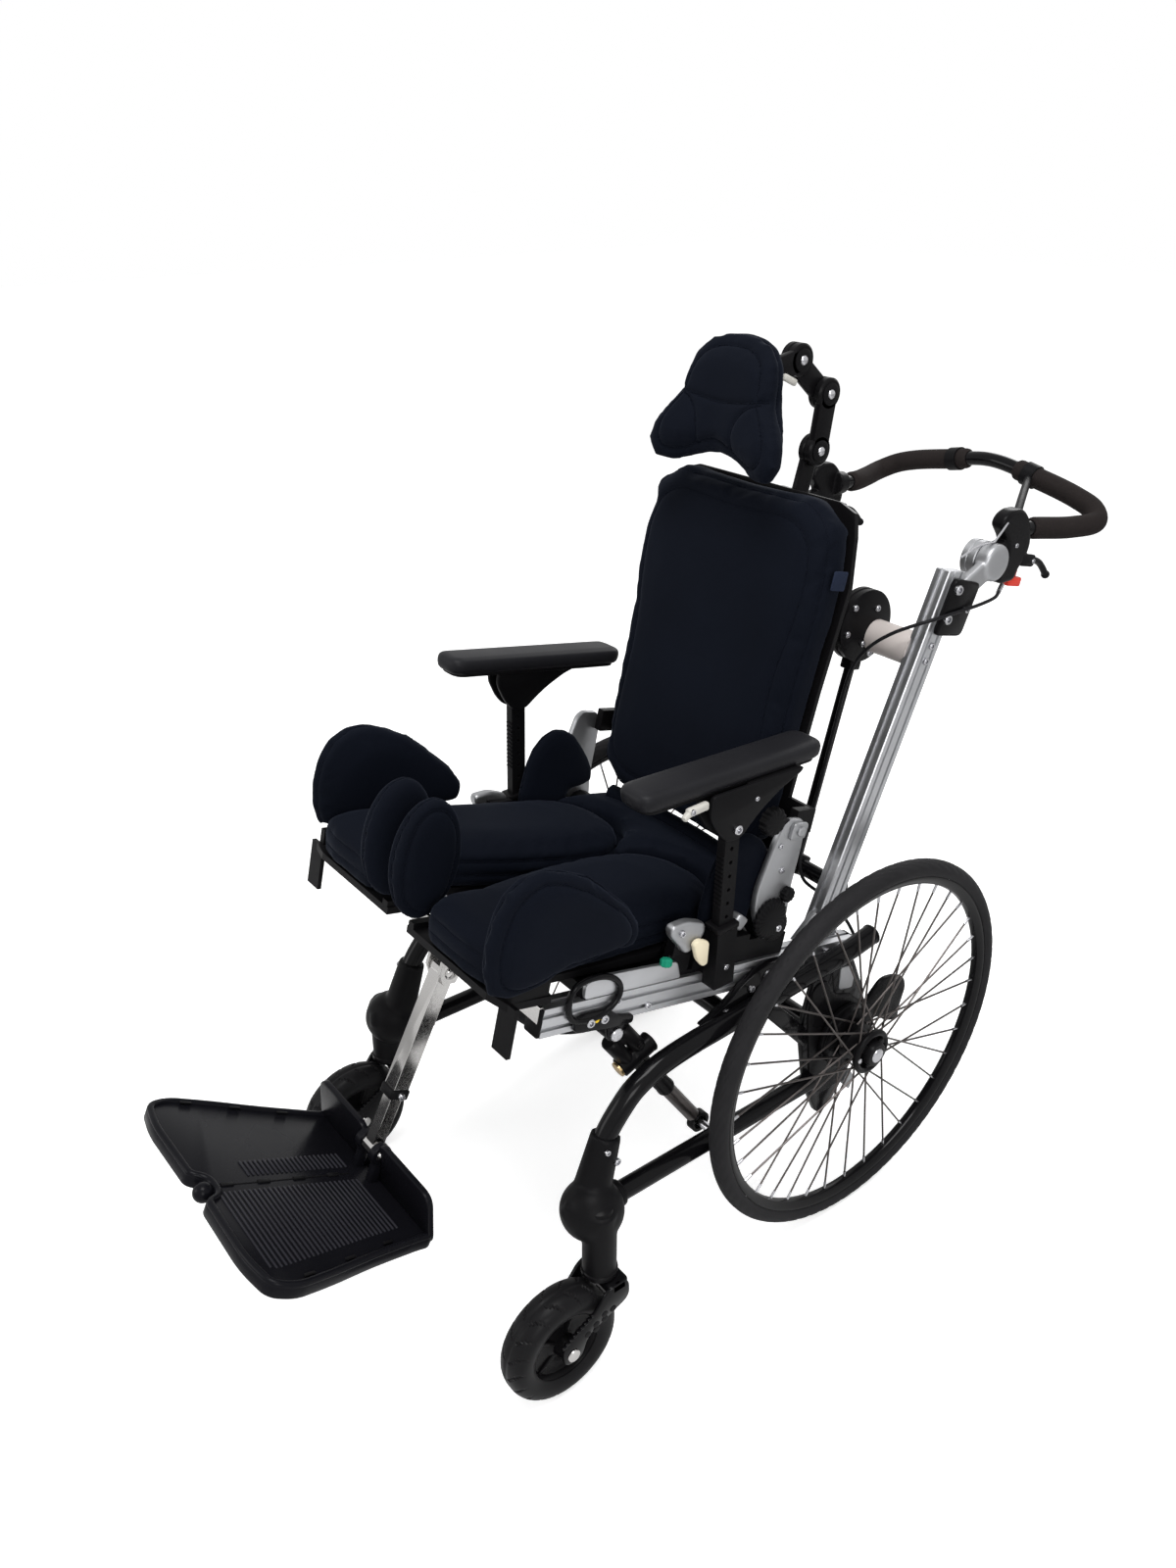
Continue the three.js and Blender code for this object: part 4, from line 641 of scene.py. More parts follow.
def side_frame(word, side):
    """The tubes, plates, pins and fixed wheel lock of one side of the chassis."""
    made = Form(side)
    made.tube([chassis(TUBE_X, y, z) for y, z in TOP_TUBE], 15, 28, 96)
    made.tube([chassis(TUBE_X, y, z) for y, z in LOWER_TUBE], 14, 28)
    made.plate(rounded(AXLE_PLATE, 12), on_chassis, 226, 236, 1.5)
    made.plate(rounded(TILT_BRACKET, 12), on_chassis, 219.3, 231, 1.5)
    made.bar(chassis(234, -160, 118), chassis(234, -68, 14), 8, 24, 1.2)
    made.turned(chassis(226, 0, 0), X_AXIS, ((0, 18), (13, 18), (15.5, 16.5)), 40)
    made.piece(f"tube_frame_{word}", "black_paint", "chassis", "frame_black", [f"side_frame_{word}"])
    cover = Form(side)
    cover.plate(rounded(((-74, 60), (-66, 108), (-40, 112), (-18, 74), (16, 62), (52, 26), (40, -46),
                         (12, -108), (-34, -106), (-58, -56)), 14), on_chassis, 232, 239, 2.4)
    cover.plate(rounded(((62, 34), (88, 56), (118, 50), (142, 36), (150, 14), (140, -20), (140, -44),
                         (112, -36), (84, -12), (52, -22), (40, 8)), 12), on_chassis, 233, 240.6, 2.4)
    cover.turned(chassis(236, -44, 66), X_AXIS, ((0, 15), (3, 15), (4.6, 13)), 32)
    cover.turned(chassis(236, -26, -84), X_AXIS, ((0, 13), (3, 13), (4.6, 11)), 32)
    cover.piece(f"brake_cover_{word}", "satin_black", "chassis", "frame_black")
    tabs = Form(side)
    tabs.plate(rounded(((-10, 118), (14, 112), (22, 88), (20, 70), (-10, 78)), 5), on_chassis,
               228, 238, 1)
    tabs.plate(rounded(((38, -94), (50, -114), (42, -136), (24, -116)), 4), on_chassis, 232, 238, 1)
    tabs.piece(f"brake_tabs_{word}", "casting", "chassis", "cast_aluminium")
    pins = Form(side)
    pins.turned(TILT_PIN + X_AXIS * 206 * MM, X_AXIS, ((0, 7.4), (1, 8), (25, 8)), 28)
    pins.turned(TILT_PIN + X_AXIS * 231 * MM, X_AXIS,
                ((-0.5, 13), (3, 13), (4.5, 11.6), (4.5, 7), (3, 6.4)), 36)
    pins.turned(chassis(194.6, *STRUT_PIN), X_AXIS, ((0, 11), (0.8, 12), (3.4, 12), (3.8, 11)), 28)
    pins.turned(chassis(201, *STRUT_PIN), X_AXIS, ((0, 6), (38, 6)), 24)
    pins.turned(chassis(228, 0, 0), X_AXIS, ((0, 8), (72.6, 8)), 24)
    for y, z in ((-190, 160), (-122, 160), (-236, 141)):
        pins.bolt(chassis(231, y, z), X_AXIS, 5.5, 4)
    pins.piece(f"frame_pins_{word}", "zinc", "chassis", "chrome")
    plug = Form(side)
    end, before = (chassis(TUBE_X, *TOP_TUBE[-1]), chassis(TUBE_X, *TOP_TUBE[-2]))
    plug.turned(end, end - before, ((-1, 15.6), (2, 15.6), (4.6, 13), (5.4, 8)), 28)
    plug.piece(f"tube_plug_{word}", "nylon", "chassis", "plastic_black")


def cross_tubes():
    """The two tubes between the side frames, with their collars."""
    for word, place, end, radius in (("front", FRONT_TUBE, 225.4, 13), ("axle", AXLE_TUBE, 225.7, 14)):
        tube = Form().tube([chassis(x, *place) for x in (-end, end)], radius, 32)
        tube.piece(f"{word}_tube", "black_paint", "chassis", "frame_black", [f"{word}_cross_tube"])
    collars = Form()
    for x in (-225.6, 217.6):
        for place, radius in ((FRONT_TUBE, 18), (AXLE_TUBE, 19)):
            collars.turned(chassis(x, *place), X_AXIS,
                           ((0, radius - 1), (1, radius), (7, radius), (8, radius - 1)), 36)
    collars.piece("tube_collars", "black_paint", "chassis", "frame_black")


def caster_housing(word, side):
    """The cast knuckle that holds a caster's stem."""
    made = Form(side)
    made.ball(chassis(254, -483, -44), 43, 0.96)
    made.tube([chassis(244, -478, -30), chassis(240, -449, 54)], (26, 20), 32)
    made.tube([chassis(TUBE_X, -485, -61), chassis(TUBE_X, -424, -61)], 19, 32)
    made.tube([chassis(CASTER_X, CASTER_STEM_Y, CROWN_TOP + 0.3),
               chassis(CASTER_X, CASTER_STEM_Y, -26)], 23, 36)
    made.tube([chassis(244, -518, -40), chassis(252, -512, -22)], 10, 20)
    made.casting(f"housing_{word}", "nylon", "chassis", "plastic_black", [f"caster_housing_{word}"])
    cap = Form(side)
    cap.turned(chassis(CASTER_X, CASTER_STEM_Y, -27), (0, 0, 1),
               ((0, 18), (3, 18.5), (7, 17), (9.5, 12), (10.4, 6)), 36)
    cap.turned(chassis(CASTER_X, CASTER_STEM_Y, CROWN_TOP + 3), (0, 0, 1),
               ((0, 22), (1, 24.6), (7, 24.6), (8.5, 23)), 40)
    cap.piece(f"housing_cap_{word}", "satin_black", "chassis", "plastic_black")
    heads = [(chassis(262, -449, 24), X_AXIS, 5, 4), (chassis(259, -462, 44), X_AXIS, 4, 3)]
    bolts(f"housing_bolts_{word}", "chassis", heads, side=side)


def caster_fork(word, side):
    """A caster's fork with its stem and axle screws."""
    body = f"caster_fork_{word}"
    rear, front, low = CASTER_STEM_Y + 24, CASTER_STEM_Y - 6, CROWN_TOP - 13
    leg = ((rear, CROWN_TOP), (front - 4, CROWN_TOP), (front - 26, low - 16),
           (CASTER_Y - 17, CASTER_Z + 20), (CASTER_Y - 14, CASTER_Z - 14),
           (CASTER_Y + 14, CASTER_Z - 14), (CASTER_Y + 24, CASTER_Z + 18), (rear + 2, low - 22))
    made = Form(side)
    for inner in (CASTER_X - 33, CASTER_X + 27.5):
        made.plate(rounded(leg, 14, 6), on_chassis, inner, inner + 5.5, 1.4)
    crown = ((CASTER_X - 33, front - 2), (CASTER_X + 33, front - 2),
             (CASTER_X + 33, rear), (CASTER_X - 33, rear))
    made.plate(rounded(crown, 7), chassis, low, CROWN_TOP, 2)
    for n in range(9):
        share = (n + 0.5) / 9
        y = front - 26 + (CASTER_Y + 9 - front) * share
        z = low - 16 + (CASTER_Z + 36 - low) * share
        for x in (CASTER_X - 30.2, CASTER_X + 30.2):
            made.bar(chassis(x, y - 3, z), chassis(x, y + 5, z), 5.5, 4, 0.8)
    made.turned(chassis(CASTER_X, CASTER_STEM_Y, low), (0, 0, 1), ((0, 8), (65, 8)), 24)
    made.piece(f"fork_{word}", "black_paint", body, "frame_black", [f"caster_fork_{word}"])
    bright = Form(side)
    bright.turned(chassis(CASTER_X, CASTER_STEM_Y, CROWN_TOP - 0.4), (0, 0, 1),
                  ((0, 20), (0.4, 21), (0.7, 20)), 40)
    for way in (-1, 1):
        bright.turned(chassis(CASTER_X + way * 33, CASTER_Y, CASTER_Z), X_AXIS * way,
                      ((-6, 4), (0, 4), (0, 9), (0.8, 9.5), (2.2, 9), (3.6, 6.5), (4, 3)), 28)
    bright.piece(f"fork_bolts_{word}", "chrome", body, "chrome")
    pits = Form(side)
    for share in (0.22, 0.42, 0.62):
        for aside in (-7, 7):
            pits.turned(chassis(CASTER_X + 33, rear - 18 + (CASTER_Y + 4 - rear + 18) * share + aside,
                                low - 16 + (CASTER_Z + 20 - low) * share), X_AXIS,
                        ((-1, 5), (0.3, 5), (0.5, 4)), 20)
    pits.piece(f"fork_pits_{word}", "nylon", body, "frame_black")


def caster_wheel(word, side):
    """A caster's grooved tyre on its spoked hub."""
    body = f"caster_wheel_{word}"
    centre = chassis(CASTER_X, CASTER_Y, CASTER_Z)
    reach = CASTER_AXLE.z / MM
    steps, pitch = 360, 20
    half = [(x, reach - drop) for x, drop in (
        (1.2, 0), (3.4, 0.1), (6, 0.3), (9, 0.8), (12, 1.8), (15, 3), (18, 5), (21, 8), (23.2, 12),
        (24, 17), (23.8, 23), (22.6, 28), (20.6, 32), (18.6, 34.5))]

    def tread(n, x, radius):
        if abs(x) > 22 or radius < reach - 14:
            return 0
        zigzag = abs((n + abs(x) * 0.75) % pitch - pitch / 2)
        return 2.4 if zigzag < 1 and abs(x) > 4 else 1.2 if abs(x) < 2 else 0

    made = Form(side).swept(centre, both_ways(half), steps, tread)
    made.piece(f"caster_tyre_{word}", "caster_tyre", body, "tyre_grey", [f"caster_wheel_{word}"])
    core = ((18.4, reach - 33), (15, reach - 36), (9.5, reach - 38), (8, reach - 42), (8, 24),
            (11, 17), (26.8, 13), (27.2, 12), (27.2, 4.6))
    hub = Form(side).swept(centre, both_ways(core), 64)
    for n in range(5):
        angle = 2 * math.pi * n / 5
        out = Vector((0, math.cos(angle), math.sin(angle)))
        for way in (-1, 1):
            hub.bar(centre + X_AXIS * way * 9 * MM + out * 14 * MM,
                    centre + X_AXIS * way * 9 * MM + out * (reach - 34) * MM, 5, 6, 1.2)
    hub.piece(f"caster_hub_{word}", "satin_black", body, "plastic_black")


def rear_wheel(word, side, sizes):
    """A rear wheel: tyre with tread, rim, crossed spokes, hub and cap."""
    body = f"wheel_{word}"
    centre = chassis(WHEEL_X, 0, 0)
    reach = AXLE.z / MM
    half = [(x, reach - drop) for x, drop in (
        (1, 0), (2.6, 0.1), (4.4, 0.4), (6.2, 1.2), (8.2, 2.4), (10, 3.8), (11.6, 5.4), (13, 7.6),
        (14, 9.8), (14.5, 13), (14.2, 17), (12.8, 20))]
    half.append((10.6, 276.4))
    block = 6

    def tread(n, x, radius):
        if radius < reach - 11:
            return 0
        if abs(x) < 3:
            return 0.5 if n % block < 2 else 0
        return 1.2 if (n + abs(x) * 0.9) % block < 2 else 0

    tyre = Form(side).swept(centre, both_ways(half), sizes.tread_blocks * block, tread)
    tyre.piece(f"tyre_{word}", "tyre", body, "tyre_grey", [f"rear_tyre_{word}"])
    rim = ((10, 275.6), (10.4, 274), (9.6, 271.5), (8.4, 267), (5.4, 263), (1, 261.6))
    made = Form(side).swept(centre, both_ways(rim), 144)
    made.piece(f"rim_{word}", "black_paint", body, "frame_black", [f"rear_wheel_{word}"])
    wires, nipples = Form(side), Form(side)
    turn = 2 * math.pi / sizes.spokes
    for n in range(sizes.spokes):
        flange = 268.5 if n % 2 == 0 else 294.5
        way = 1 if n % 4 < 2 else -1
        ends = []
        for x, radius, angle in ((flange + way * 2.2, 31, n * turn + way * math.radians(50)),
                                 (WHEEL_X, 263, n * turn)):
            ends.append(chassis(x, radius * math.cos(angle), radius * math.sin(angle)))
        wires.tube(ends, sizes.spoke_radius / MM, 8)
        nipples.tube([ends[1].lerp(ends[0], 0.055), ends[1]], 2.1, 8)
    wires.piece(f"spokes_{word}", "steel", body, "frame_black")
    nipples.piece(f"nipples_{word}", "zinc", body, "chrome")
    hub = Form(side).turned(chassis(242, 0, 0), X_AXIS, (
        (0, 30), (0, 47.5), (1.5, 50), (7, 50), (8, 49), (12, 49), (13, 50), (18.5, 50), (20, 48),
        (20, 27), (22, 21), (24.6, 21), (25, 32), (25.6, 33), (27.4, 33), (28, 32), (28.4, 21),
        (30, 20), (49, 20), (50.6, 21), (51, 32), (51.6, 33), (53.4, 33), (54, 32), (54.6, 20),
        (58, 19)), 56)
    hub.piece(f"hub_{word}", "satin_black", body, "frame_black")
    cap = Form(side).turned(chassis(297, 0, 0), X_AXIS, (
        (0, 18.4), (2, 19), (13, 19), (15.4, 17.6), (16, 14)), 40)
    cap.tube([chassis(300, 31 * math.cos(0.25 * n), 31 * math.sin(0.25 * n)) for n in range(25)],
             5, 14, 72, True)
    for n in range(3):
        angle = 2 * math.pi * n / 3 + 0.4
        cap.bar(chassis(300, 15 * math.cos(angle), 15 * math.sin(angle)),
                chassis(300, 30 * math.cos(angle), 30 * math.sin(angle)), 6, 12, 1.6)
    cap.piece(f"hub_cap_{word}", "satin_black", body, "frame_black")
    bright = Form(side).dome(chassis(313, 0, 0), X_AXIS, 11.5, 4)
    bright.turned(chassis(304.4, -29, 0), X_AXIS, ((0, 4), (1.6, 4), (2, 3)), 20)
    bright.piece(f"hub_button_{word}", "zinc", body, "chrome")


def both_ways(half):
    """A closed outline from its half: places along X and radii."""
    return [*half, *((-x, radius) for x, radius in reversed(half))]


# Tilt struts


def tilt_strut(word, side):
    """A gas strut: the sleeve with its lock on the seat, the rod on the chassis."""
    sleeve, rod = f"tilt_sleeve_{word}", f"tilt_rod_{word}"
    top, low = seat(STRUT_X, *STRUT_TOP), chassis(STRUT_X, *STRUT_PIN)
    length = (low - top).length / MM
    along = (low - top).normalized()
    across = along.cross(X_AXIS).normalized()

    def at(s, aside=0):
        return top + (along * s + across * aside) * MM

    lock = BACK * math.cos(LOCK_ANGLE) + UP * math.sin(LOCK_ANGLE)
    made = Form(side)
    made.turned(top - X_AXIS * 7.6 * MM, X_AXIS, ((0, 11), (0.8, 12), (14.4, 12), (15.2, 11)), 32)
    for aside in (-11.6, 11.6):
        made.turned(at(16, aside), along, ((0, 9), (2, 11.2), (50, 11.2), (54, 10)), 32)
    made.turned(at(8), along, ((0, 7.6), (30, 7.6)), 20)
    made.turned(at(77) - lock * 27 * MM, lock, ((0, 12), (1.5, 14), (52, 14), (53, 13)), 36)
    made.turned(at(66), along, ((0, 9), (3, 12.5), (108, 12.5), (110, 13.2), (113, 13.2),
                                (114, 12.6)), 36)
    made.piece(f"strut_sleeve_{word}", "satin_black", sleeve, "strut_black", [f"tilt_sleeve_{word}"])
    cap = Form(side)
    cap.turned(at(77) + lock * 25 * MM, lock, ((0, 14.4), (3, 14.6), (5, 13), (6.6, 8)), 36)
    cap.piece(f"lock_cap_{word}", "nylon", sleeve, "plastic_black")
    ring = Form(side)
    ring.turned(at(77) - lock * 31 * MM, lock, ((0, 9), (0.6, 11), (3.4, 11), (4, 10)), 36)
    ring.piece(f"lock_ring_{word}", "brass", sleeve, "strut_rod")
    bar = Form(side)
    bar.turned(at(119), along, ((0, 10.6), (length - 142, 10.6), (length - 139, 6),
                                (length - 131, 6)), 32)
    bar.piece(f"strut_bar_{word}", "steel", rod, "strut_rod", [f"tilt_rod_{word}"])
    eye = Form(side).swept(low, ((-6, 16), (6, 16), (6, 10.9), (-6, 10.9)), 40)
    eye.piece(f"strut_eye_{word}", "satin_black", rod, "strut_black")


# Seat frame


def seat_frame():
    """The crossbar with its clamps and rods, then each side's parts."""
    tube = Form().tube([seat(x, lean(CROSSBAR_W), CROSSBAR_W) for x in (-183.7, 183.7)], 24, 48)
    tube.piece("crossbar", "warm_tube", "seat", "cross_tube", ["back_crossbar"])
    clamps, rods, heads = Form(), Form(), []
    v, w = CLAMP
    for side in (-1, 1):
        middle = side * CLAMP_X
        clamps.turned(seat(middle - 11, v, w), X_AXIS, (
            (0, 49), (1.2, 52.5), (8, 52.5), (9, 51), (13, 51), (14, 52.5), (20.8, 52.5),
            (22, 49)), 64)
        clamps.bar(seat(middle, v, 412), seat(middle, v, 398), 20, 24, 2)
        rods.tube([seat(middle, v, 408), seat(middle, *BACK_ROD)], 7.5, 24)
        clamps.bar(seat(middle, 236, 108), seat(middle, 226, 78), 26, 30, 3)
        for dv, dw in ((-37, 26), (12, 27), (-40, -12), (-1, -25), (18, -38)):
            heads.append((seat(side * 112, v + dv, w + dw), X_AXIS * side, 4.6, 4))
        heads.append((seat(middle, 249, 405), BACK, 4.6, 4))
    clamps.piece("crossbar_clamps", "satin_black", "seat", "plastic_black")
    rods.tube([seat(x, *BACK_ROD) for x in (-194, 194)], 12, 32)
    rods.piece("back_rods", "black_paint", "seat", "frame_black")
    bolts("crossbar_bolts", "seat", heads)
    for word, side in SIDES:
        seat_side(word, side)


def seat_side(word, side):
    """The rail's caps and screws, the upright, the tie-down ring and the strut's pin."""
    caps = Form(side)
    for v, way in ((RAIL_FRONT, -1), (RAIL_BACK, 1)):
        caps.plate(rounded(((190, -20), (218, -20), (218, 20), (190, 20)), 4),
                   lambda x, w, h, v=v, way=way: seat(x, v + way * h, w), 0.2, 4, 1)
    caps.piece(f"rail_caps_{word}", "nylon", "seat", "plastic_black")
    heads = [(seat(204, -326, 8), -BACK, 3.4, 2), (seat(218.2, -205, 9), X_AXIS, 4.6, 3),
             (seat(218.2, -150, -9), X_AXIS, 4.6, 3), (seat(218.2, 196, 9), X_AXIS, 4.6, 3),
             (seat(218.2, 228, 9), X_AXIS, 4.6, 3), (seat(204, lean(40), 40), X_AXIS, 4.4, 3),
             (seat(224, -251, -9), X_AXIS, 6, 4.5), (seat(224, -229, -8), X_AXIS, 6, 4.5),
             (seat(204.4, lean(440), 440), X_AXIS, 5, 4), (seat(204.4, lean(462), 462), X_AXIS, 5, 4)]
    bolts(f"rail_bolts_{word}", "seat", heads, side=side)
    upright = Form(side)
    upright.shell([[seat(x, lean(w) + b * share, w) for x, b in UPRIGHT_SECTION]
                   for w, share in ((20.4, 1), (565, 1), (566, 0.96))])
    upright.plate(rounded(((146, 20.4), (237, 20.4), (204, 84), (196, 84)), 3), on_seat, 187, 199, 1)
    upright.piece(f"upright_bar_{word}", "extrusion", "seat", "seat_aluminium", [f"upright_{word}"])
    anchor = Form(side)
    anchor.tube([seat(222.6, v, w) for v, w in ANCHOR_RING], 4.2, 14, 72, True)
    anchor.plate(rounded(((-272, -20), (-276, -4), (-262, 4), (-222, 4), (-206, -8), (-176, -14),
                          (-176, -26), (-216, -26)), 5), on_seat, 218.4, 224, 1.2)
    anchor.plate(rounded(((-216, -26), (-176, -26), (-176, -20.4), (-216, -20.4)), 2), on_seat,
                 191.4, 223, 0.8)
    for inner in (191.4, 212.9):
        anchor.plate(rounded(((-214, -22), (-178, -22), (-184, -48), (-196, -54), (-208, -48)), 7),
                     on_seat, inner, inner + 5.7, 1)
    anchor.piece(f"anchor_{word}", "black_paint", "seat", "frame_black", [f"strut_bracket_{word}"])
    tray = Form(side)
    tray.plate(rounded(((-262, 21), (-264, 42), (-240, 50), (-112, 47), (-100, 21)), 6), on_seat,
               212.4, 218.6, 1.2)
    tray.piece(f"tray_side_{word}", "extrusion", "seat", "seat_aluminium")
    mark = Form(side)
    mark.turned(seat(224, -240, -8), X_AXIS, ((0, 3.4), (1.2, 3.4), (1.6, 2.8)), 20)
    mark.piece(f"loop_mark_{word}", "yellow", "seat", "catch_red")
    lug = Form(side)
    lug.turned(seat(191.4, *STRUT_TOP), X_AXIS, ((-2.4, 6.4), (-2, 7.4), (0, 8)), 24)
    lug.turned(seat(218.7, *STRUT_TOP), X_AXIS, ((0, 9.4), (3, 9.4), (4.2, 8), (4.6, 4)), 28)
    lug.piece(f"strut_pin_{word}", "zinc", "seat", "chrome")


# Push handle


def push_handle():
    """The push bow, both handle ends and the red catch."""
    line = curved(bow_line(), 220)
    bow = Form().tube(line, 11, 28)
    bow.piece("bow_tube", "black_paint", "handle", "bow_black", ["push_bow"])
    for word, side in SIDES:
        handle_side(word, side, line)
    catch = Form()
    catch.plate(rounded(((172, 440), (186, 440), (186, 472), (172, 472)), 4), seat, 546, 560, 2.5)
    catch.bar(seat(179, 455, 558), seat(179, 455, 579), 6, 10, 1)
    catch.piece("catch", "red", "lock_catch", "catch_red", ["lock_catch"])


def part_of(line, span):
    """The part of a line between two shares of its length."""
    first, last = (round((len(line) - 1) * share) for share in span)
    return line[first:last + 1]


def handle_side(word, side, line):
    """A grip, its joint, the brake lever with its housing, and the knuckle that holds them."""
    path = part_of(line if side > 0 else line[::-1], GRIP_SPAN)
    radii = [12.5, 15.2, *[16] * (len(path) - 4), 15.2, 12.5]
    Form().tube(path, radii, 36).piece(f"grip_{word}", "foam", "handle", "bow_black")
    joint_eye = Form(side)
    joint_eye.turned(seat(166, *KNUCKLE), X_AXIS, (
        (0, 24), (1.6, 26.5), (10, 26.5), (11, 25.6), (13, 25.6), (14, 26.5), (22.4, 26.5),
        (23.7, 25)), 48)
    joint_eye.piece(f"bow_joint_{word}", "casting", "handle", "cast_aluminium")
    box = Form(side)
    box.plate(rounded(HOUSING, 9), on_seat, 167, 190, 4)
    box.plate(stadium((372, 586), (420, 604), 13), on_seat, 169, 187, 3)
    box.tube([seat(168, 432, 626), seat(169, 452, 628)], 18, 28)
    box.casting(f"lever_box_{word}", "satin_black", "handle", "bow_black", voxel=1.6, rounds=5)
    lugs = Form(side)
    for inner in (172, 185):
        lugs.plate(rounded(((450, 577), (482, 577), (487, 586), (482, 595), (450, 595)), 4),
                   on_seat, inner, inner + 5, 1)
    if side > 0:
        lugs.tube([seat(172, 432, 648), seat(146, 474, 664), seat(69, 600, 696)], 6, 16, 12)
    lugs.tube(part_of(line, COLLAR_SPAN), 18.4, 32)
    lugs.piece(f"lever_lugs_{word}", "nylon", "handle", "bow_black")
    lever = Form(side)
    lever.turned(seat(177.3, *LEVER), X_AXIS, ((0, 7), (0.8, 8), (6.6, 8), (7.4, 7)), 28)
    lever.tube([seat(181, 478, 586), seat(181, 495, 586), seat(181, 509, 583.5),
                seat(181, 522, 577), seat(181, 538, 566)], 5, 18, 24)
    lever.ball(seat(181, 538, 566), 6.4)
    lever.piece(f"lever_{word}", "satin_black", f"brake_lever_{word}", "plastic_black",
                [f"brake_lever_{word}"])
    heads = [(seat(189.6, 424, 606), X_AXIS, 3.4, 2.6), (seat(190, 478, 586), X_AXIS, 3.4, 2.4)]
    bolts(f"handle_bolts_{word}", "handle", heads, side=side)
    knuckle = Form(side)
    knuckle.turned(seat(190.3, *KNUCKLE), X_AXIS, (
        (0, 25), (1.4, 26.5), (18, 26.5), (21, 25), (23, 21), (23.7, 12)), 48)
    knuckle.plate(stadium((350, 576), (309, 544), 16.5), on_seat, 195, 209, 4)
    knuckle.casting(f"knuckle_{word}", "casting", "seat", "cast_aluminium",
                    [f"handle_knuckle_{word}"], 1.8, 5)
    low, high = 478, 558
    holder = Form(side)
    holder.plate(rounded(((lean(low) - 9, low), (lean(low) + 50, low), (lean(high) + 50, high - 4),
                          (lean(high) - 9, high)), 10), on_seat, 204.4, 212.4, 2)
    holder.piece(f"knuckle_holder_{word}", "satin_black", "seat", "plastic_black")
    heads = [(seat(212.4, lean(544), 543), X_AXIS, 7, 5.5),
             (seat(212.4, lean(502), 502), X_AXIS, 7, 5.5),
             (seat(212.4, lean(520) + 38, 516), X_AXIS, 4.4, 3)]
    bolts(f"knuckle_bolts_{word}", "seat", heads, side=side)


# Head supports


def head_links():
    """The head post, its links and bracket, and the post's clamp and levers."""
    levels = {"inner": (14, 24), "outer": (24.3, 36)}
    rows = (
        ("head_bar", "head_post", (129, 400), POST_TOP, "inner", ["head_post"]),
        ("lower_link", "head_link_lower", POST_TOP, ELBOW, "outer", ["head_link_lower"]),
        ("upper_link", "head_link_upper", ELBOW, NOD, "inner", ["head_link_upper"]),
        ("head_bracket", "head", NOD, HEAD_END, "outer", []),
    )
    for name, body, start, end, level, nodes in rows:
        low, high = levels[level]
        width = 14 if body == "head_post" else 16
        bar = Form().plate(stadium(start, end, width, 14), on_seat, low, high, 3)
        for place in (start, end):
            if place in (POST_TOP, ELBOW, NOD):
                bar.turned(seat(low, *place), X_AXIS, (
                    (0, 19), (1.6, 21), (high - low - 2, 21), (high - low, 18.6)), 48)
        bar.piece(name, "satin_black", body, "plastic_black", nodes)
    face = levels["outer"][1]
    for name, body, place in (("post_button", "head_link_lower", POST_TOP),
                              ("elbow_button", "head_link_lower", ELBOW),
                              ("nod_button", "head", NOD)):
        ring = Form().turned(seat(face, *place), X_AXIS,
                             ((-0.5, 14.6), (1.4, 14.6), (2.2, 13), (2.2, 8)), 40)
        ring.piece(f"{name}_ring", "nylon", body, "plastic_black")
        Form().dome(seat(face + 1.4, *place), X_AXIS, 6.6, 3.6).piece(name, "zinc", body, "chrome")
    clamp = Form()
    clamp.plate(rounded(((5, 96), (45, 96), (45, 153), (5, 153)), 8), seat, 505, 545, 3)
    clamp.piece("post_clamp", "satin_black", "back", "plastic_black")
    lever = Form()
    lever.turned(seat(45, 128, 526), X_AXIS, ((0, 8), (4, 8), (5, 7)), 24)
    lever.bar(seat(48, 128, 526), seat(52, 150, 548), 5, 10, 1.6)
    lever.piece("post_lever", "grey_plastic", "back", "cast_aluminium")
    small = Form()
    small.bar(seat(38, 60, 763), seat(38, 36, 768), 7, 9, 2)
    small.piece("nod_lever", "grey_plastic", "head", "cast_aluminium")
    plate = Form()
    plate.plate(rounded(((-8, 742), (44, 742), (44, 781), (-8, 781)), 8),
                lambda x, w, v: seat(x, v, w), 11, 17, 1.4)
    plate.piece("head_plate", "satin_black", "head", "plastic_black")


# Back supports


